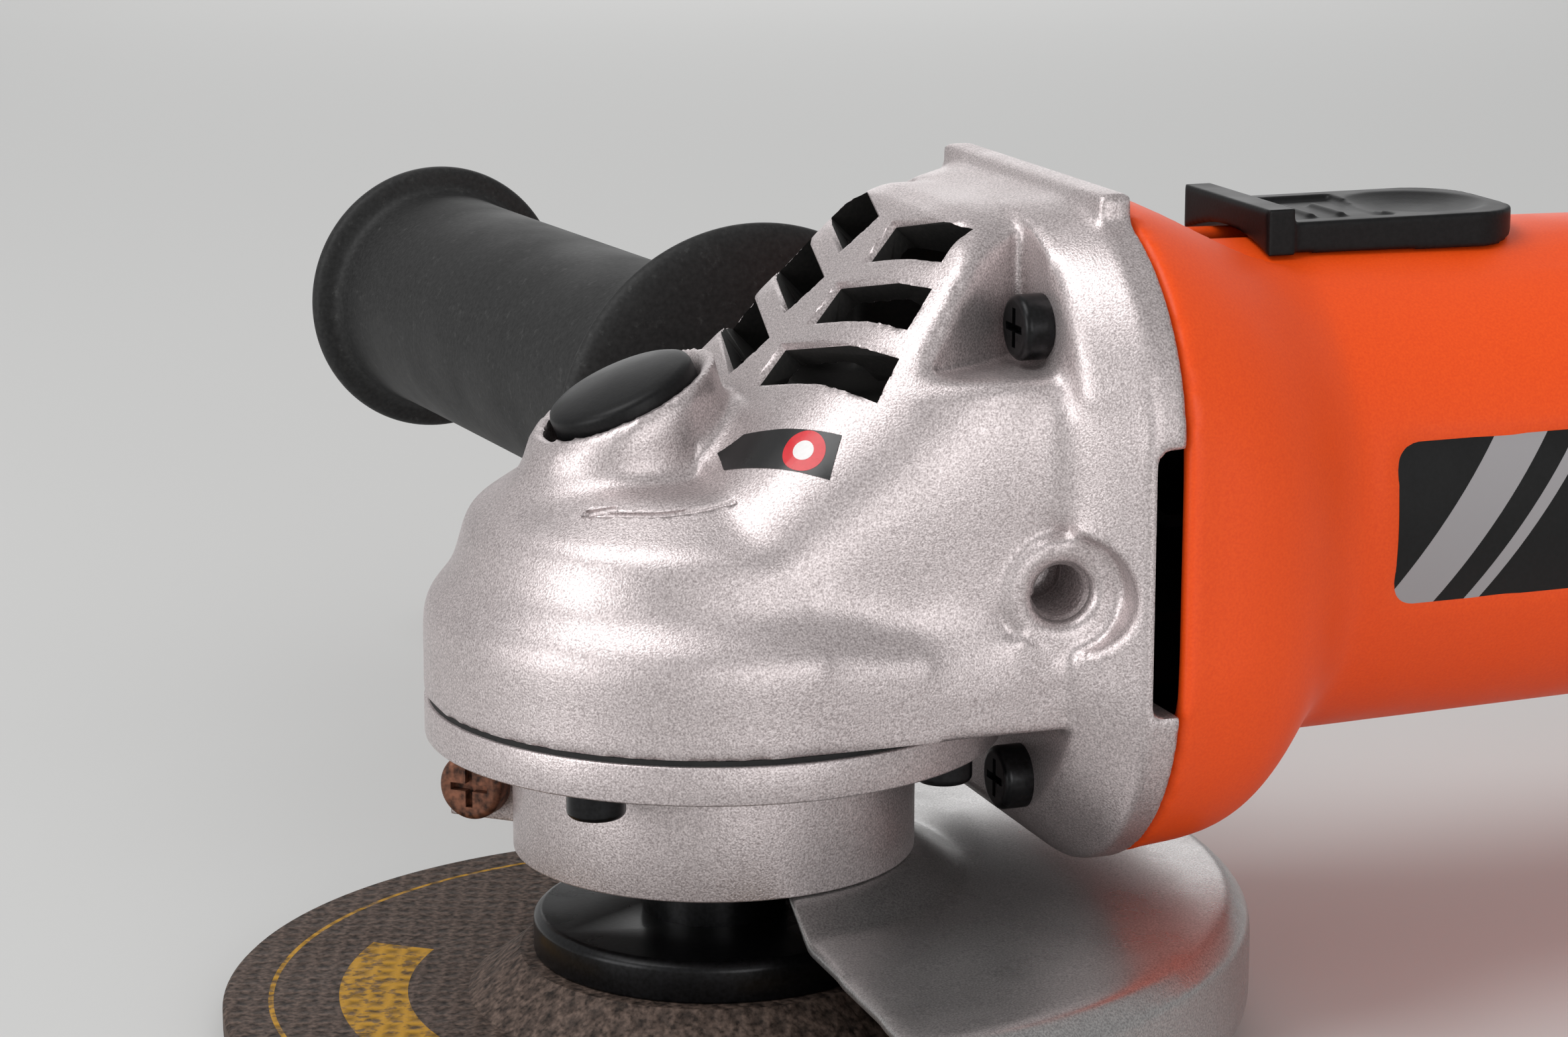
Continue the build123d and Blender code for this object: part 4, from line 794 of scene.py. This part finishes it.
def switch_slider():
    piece = slider_cap()
    lip_x1 = SLIDER_X0 + LIP_T
    carve(piece, block("panel", (lip_x1 + PANEL_BACK, -PANEL_HALF, SLIDER_TOP - PANEL_DEPTH),
                       (PANEL_X1, PANEL_HALF, PANEL_CUT_Z)))
    bpy.ops.object.select_all(action="DESELECT")
    hollow_z = SLIDER_TOP - THUMB_DEPTH + THUMB_R
    bpy.ops.mesh.primitive_uv_sphere_add(
        segments=96, ring_count=64, radius=THUMB_R * MM, location=(THUMB_X * MM, 0, hollow_z * MM))
    carve(piece, bpy.context.object)
    lip_half = SLIDER_HALF + LIP_BESIDE
    lip = block("lip", (SLIDER_X0 - LIP_AHEAD, -lip_half, SLIDER_FOOT_Z), (lip_x1, lip_half, LIP_Z))
    for part in (piece, lip):
        seat = lathe("barrel", [(barrel_radius(x) + SLIDER_CLEAR, x) for x in SLIDER_SPAN], sides=256)
        along_motor(seat)
        carve(part, seat)
    ridges = []
    for back in RIDGE_BACK:
        x = PANEL_X1 - back
        ridges.append(block("ridge", (x, -RIDGE_HALF, SLIDER_TOP - RIDGE_FOOT),
                            (x + RIDGE_W, RIDGE_HALF, SLIDER_TOP - RIDGE_DROP)))
    make_active(piece)
    for part in [lip] + ridges:
        part.select_set(True)
    bpy.ops.object.join()
    soft_skin(piece, SLIDER_VOXEL, SLIDER_SMOOTH)
    piece.data.materials.clear()
    return settle(piece, "slider", "black_plastic", "switch_slider")


# Guard: pressed sheet with a rounded shoulder

def guard():
    piece = copy_of("guard", "guard_sheet")
    soft_skin(piece, GUARD_VOXEL, GUARD_SMOOTH)
    return settle(piece, "guard", "guard_paint", "guard")


# Marks on the casting

def seen_at(case, pixel):
    """Point and normal on the case under a pixel of the photo."""
    camera = bpy.context.scene.camera
    focal = LENS / SENSOR * PHOTO_W
    look = Vector(((pixel[0] - PHOTO_W / 2) / focal, (PHOTO_H / 2 - pixel[1]) / focal, -1.0))
    aim = (camera.matrix_world.to_3x3() @ look).normalized()
    _, place, normal, _ = case.ray_cast(camera.matrix_world.translation, aim)
    return place, normal


def arrow_film(called):
    """The sticker's film: a plain strip with its front cut to a point."""
    bpy.ops.mesh.primitive_plane_add(size=1.0, location=(0, 0, 0))
    piece = bpy.context.object
    piece.name = called
    bpy.ops.object.mode_set(mode="EDIT")
    bpy.ops.mesh.select_all(action="SELECT")
    bpy.ops.transform.resize(value=(STICKER_L * MM, STICKER_W * MM, 1), center_override=(0, 0, 0))
    bpy.ops.mesh.subdivide(number_cuts=23)
    for side in (-1, 1):
        bpy.ops.mesh.select_all(action="SELECT")
        bpy.ops.mesh.bisect(
            plane_co=(-STICKER_L / 2 * MM, 0, 0), plane_no=(-1, side, 0), clear_outer=True)
    bpy.ops.object.mode_set(mode="OBJECT")
    return piece


def print_dot(called, radius):
    """A round print near the film's rear end."""
    bpy.ops.mesh.primitive_circle_add(
        vertices=40, radius=radius * MM, fill_type="TRIFAN", location=(0, 0, 0))
    piece = bpy.context.object
    piece.name = called
    bpy.ops.object.mode_set(mode="EDIT")
    bpy.ops.mesh.select_all(action="SELECT")
    bpy.ops.transform.translate(value=(STICKER_L * DOT_ALONG * MM, 0, 0))
    bpy.ops.mesh.subdivide(number_cuts=3)
    bpy.ops.object.mode_set(mode="OBJECT")
    return piece


def sticker(case):
    """Thin vinyl arrow in black with a red and white dot, without words."""
    place, normal = seen_at(case, STICKER_PX)
    tip, _ = seen_at(case, STICKER_TIP_PX)
    along = (place - tip).normalized()
    across = normal.cross(along).normalized()
    along = across.cross(normal)
    turn = Matrix((along, across, normal)).transposed().to_4x4()
    layers = (
        ("sticker_film", print_black(), None),
        ("sticker_dot", print_red(), DOT_R),
        ("sticker_eye", print_white(), EYE_R),
    )
    for level, (called, ink, radius) in enumerate(layers):
        bpy.ops.object.select_all(action="DESELECT")
        piece = print_dot(called, radius) if radius else arrow_film(called)
        piece.matrix_world = Matrix.Translation(place + normal * STICKER_LIFT * MM) @ turn
        bpy.context.view_layer.update()
        apply_modifier(piece, "SHRINKWRAP", target=case, wrap_method="PROJECT", use_project_z=True,
                       use_negative_direction=True, use_positive_direction=True, offset=STICKER_OFF * MM)
        apply_modifier(piece, "SOLIDIFY", thickness=STICKER_T * (1 + LAYER_STEP * level) * MM, offset=1.0)
        set_in_place(piece, piece.matrix_world.copy())
        smooth_shading(piece, degrees=40)
        piece.data.materials.append(ink)
        settle(piece, "base", "cast_aluminium")


def turning_arrow(case):
    """Groove of the arrow that shows which way the wheel turns."""
    for pixels in (ARROW_PX, ARROW_BARB_PX):
        curve = bpy.data.curves.new("arrow_cutter", "CURVE")
        curve.dimensions = "3D"
        curve.bevel_depth = ARROW_R * MM
        curve.bevel_resolution = 3
        curve.use_fill_caps = True
        spline = curve.splines.new("NURBS")
        spline.points.add(len(pixels) - 1)
        for point, pixel in zip(spline.points, pixels):
            place, _ = seen_at(case, pixel)
            point.co = (*place, 1.0)
        spline.use_endpoint_u = True
        spline.order_u = min(3, len(pixels))
        cutter = bpy.data.objects.new("arrow_cutter", curve)
        bpy.context.scene.collection.objects.link(cutter)
        make_active(cutter)
        bpy.ops.object.convert(target="MESH")
        carve(case, cutter)


# Stage, light and camera

def stage_floor():
    bpy.ops.object.select_all(action="DESELECT")
    bpy.ops.mesh.primitive_plane_add(size=FLOOR_SIZE, location=(0, 0, cad_low.z))
    floor = bpy.context.object
    floor.name = "floor"
    material, tree, _ = new_material("pale_paper")
    shader = add(tree, "ShaderNodeBsdfPrincipled", {"Base Color": linear("#d0d0cf"), "Roughness": 0.9})
    add(tree, "ShaderNodeOutputMaterial", {"Surface": (shader, "BSDF")})
    floor.data.materials.append(material)


def soft_lamp(name, place, size, watts):
    lamp = bpy.data.lights.new(name, "AREA")
    lamp.shape = "DISK"
    lamp.size = size
    lamp.energy = watts
    holder = bpy.data.objects.new(name, lamp)
    holder.location = place
    holder.rotation_euler = (Vector(LAMP_AIM) - Vector(place)).to_track_quat("-Z", "Y").to_euler()
    bpy.context.scene.collection.objects.link(holder)


def studio():
    world = bpy.data.worlds.new("studio")
    bpy.context.scene.world = world
    world.use_nodes = True
    back = world.node_tree.nodes["Background"]
    back.inputs["Color"].default_value = linear("#d4d4d4")
    back.inputs["Strength"].default_value = SKY_STRENGTH
    for lamp in LAMPS:
        soft_lamp(*lamp)


def photo_camera():
    camera = bpy.data.cameras.new("camera")
    camera.sensor_width = SENSOR
    camera.lens = LENS
    camera.clip_start = 0.01
    holder = bpy.data.objects.new("camera", camera)
    holder.location = CAMERA_AT
    holder.rotation_euler = (math.radians(CAMERA_PITCH), 0, math.radians(CAMERA_TURN))
    bpy.context.scene.collection.objects.link(holder)
    bpy.context.scene.camera = holder
    bpy.context.view_layer.update()


photo_camera()
casting = gear_case()
sticker(casting)
turning_arrow(casting)
socket_thread()
handle_grip()
grinding_wheel()
lock_button()
lock_spring()
motor_housing()
switch_slider()
guard()
for name in ("bearing_cover", "guard_collar", "rear_cover", "clamp_nut", "inner_flange"):
    broken_edges(name)
stage_floor()
studio()
bpy.context.scene.view_settings.view_transform = "Standard"
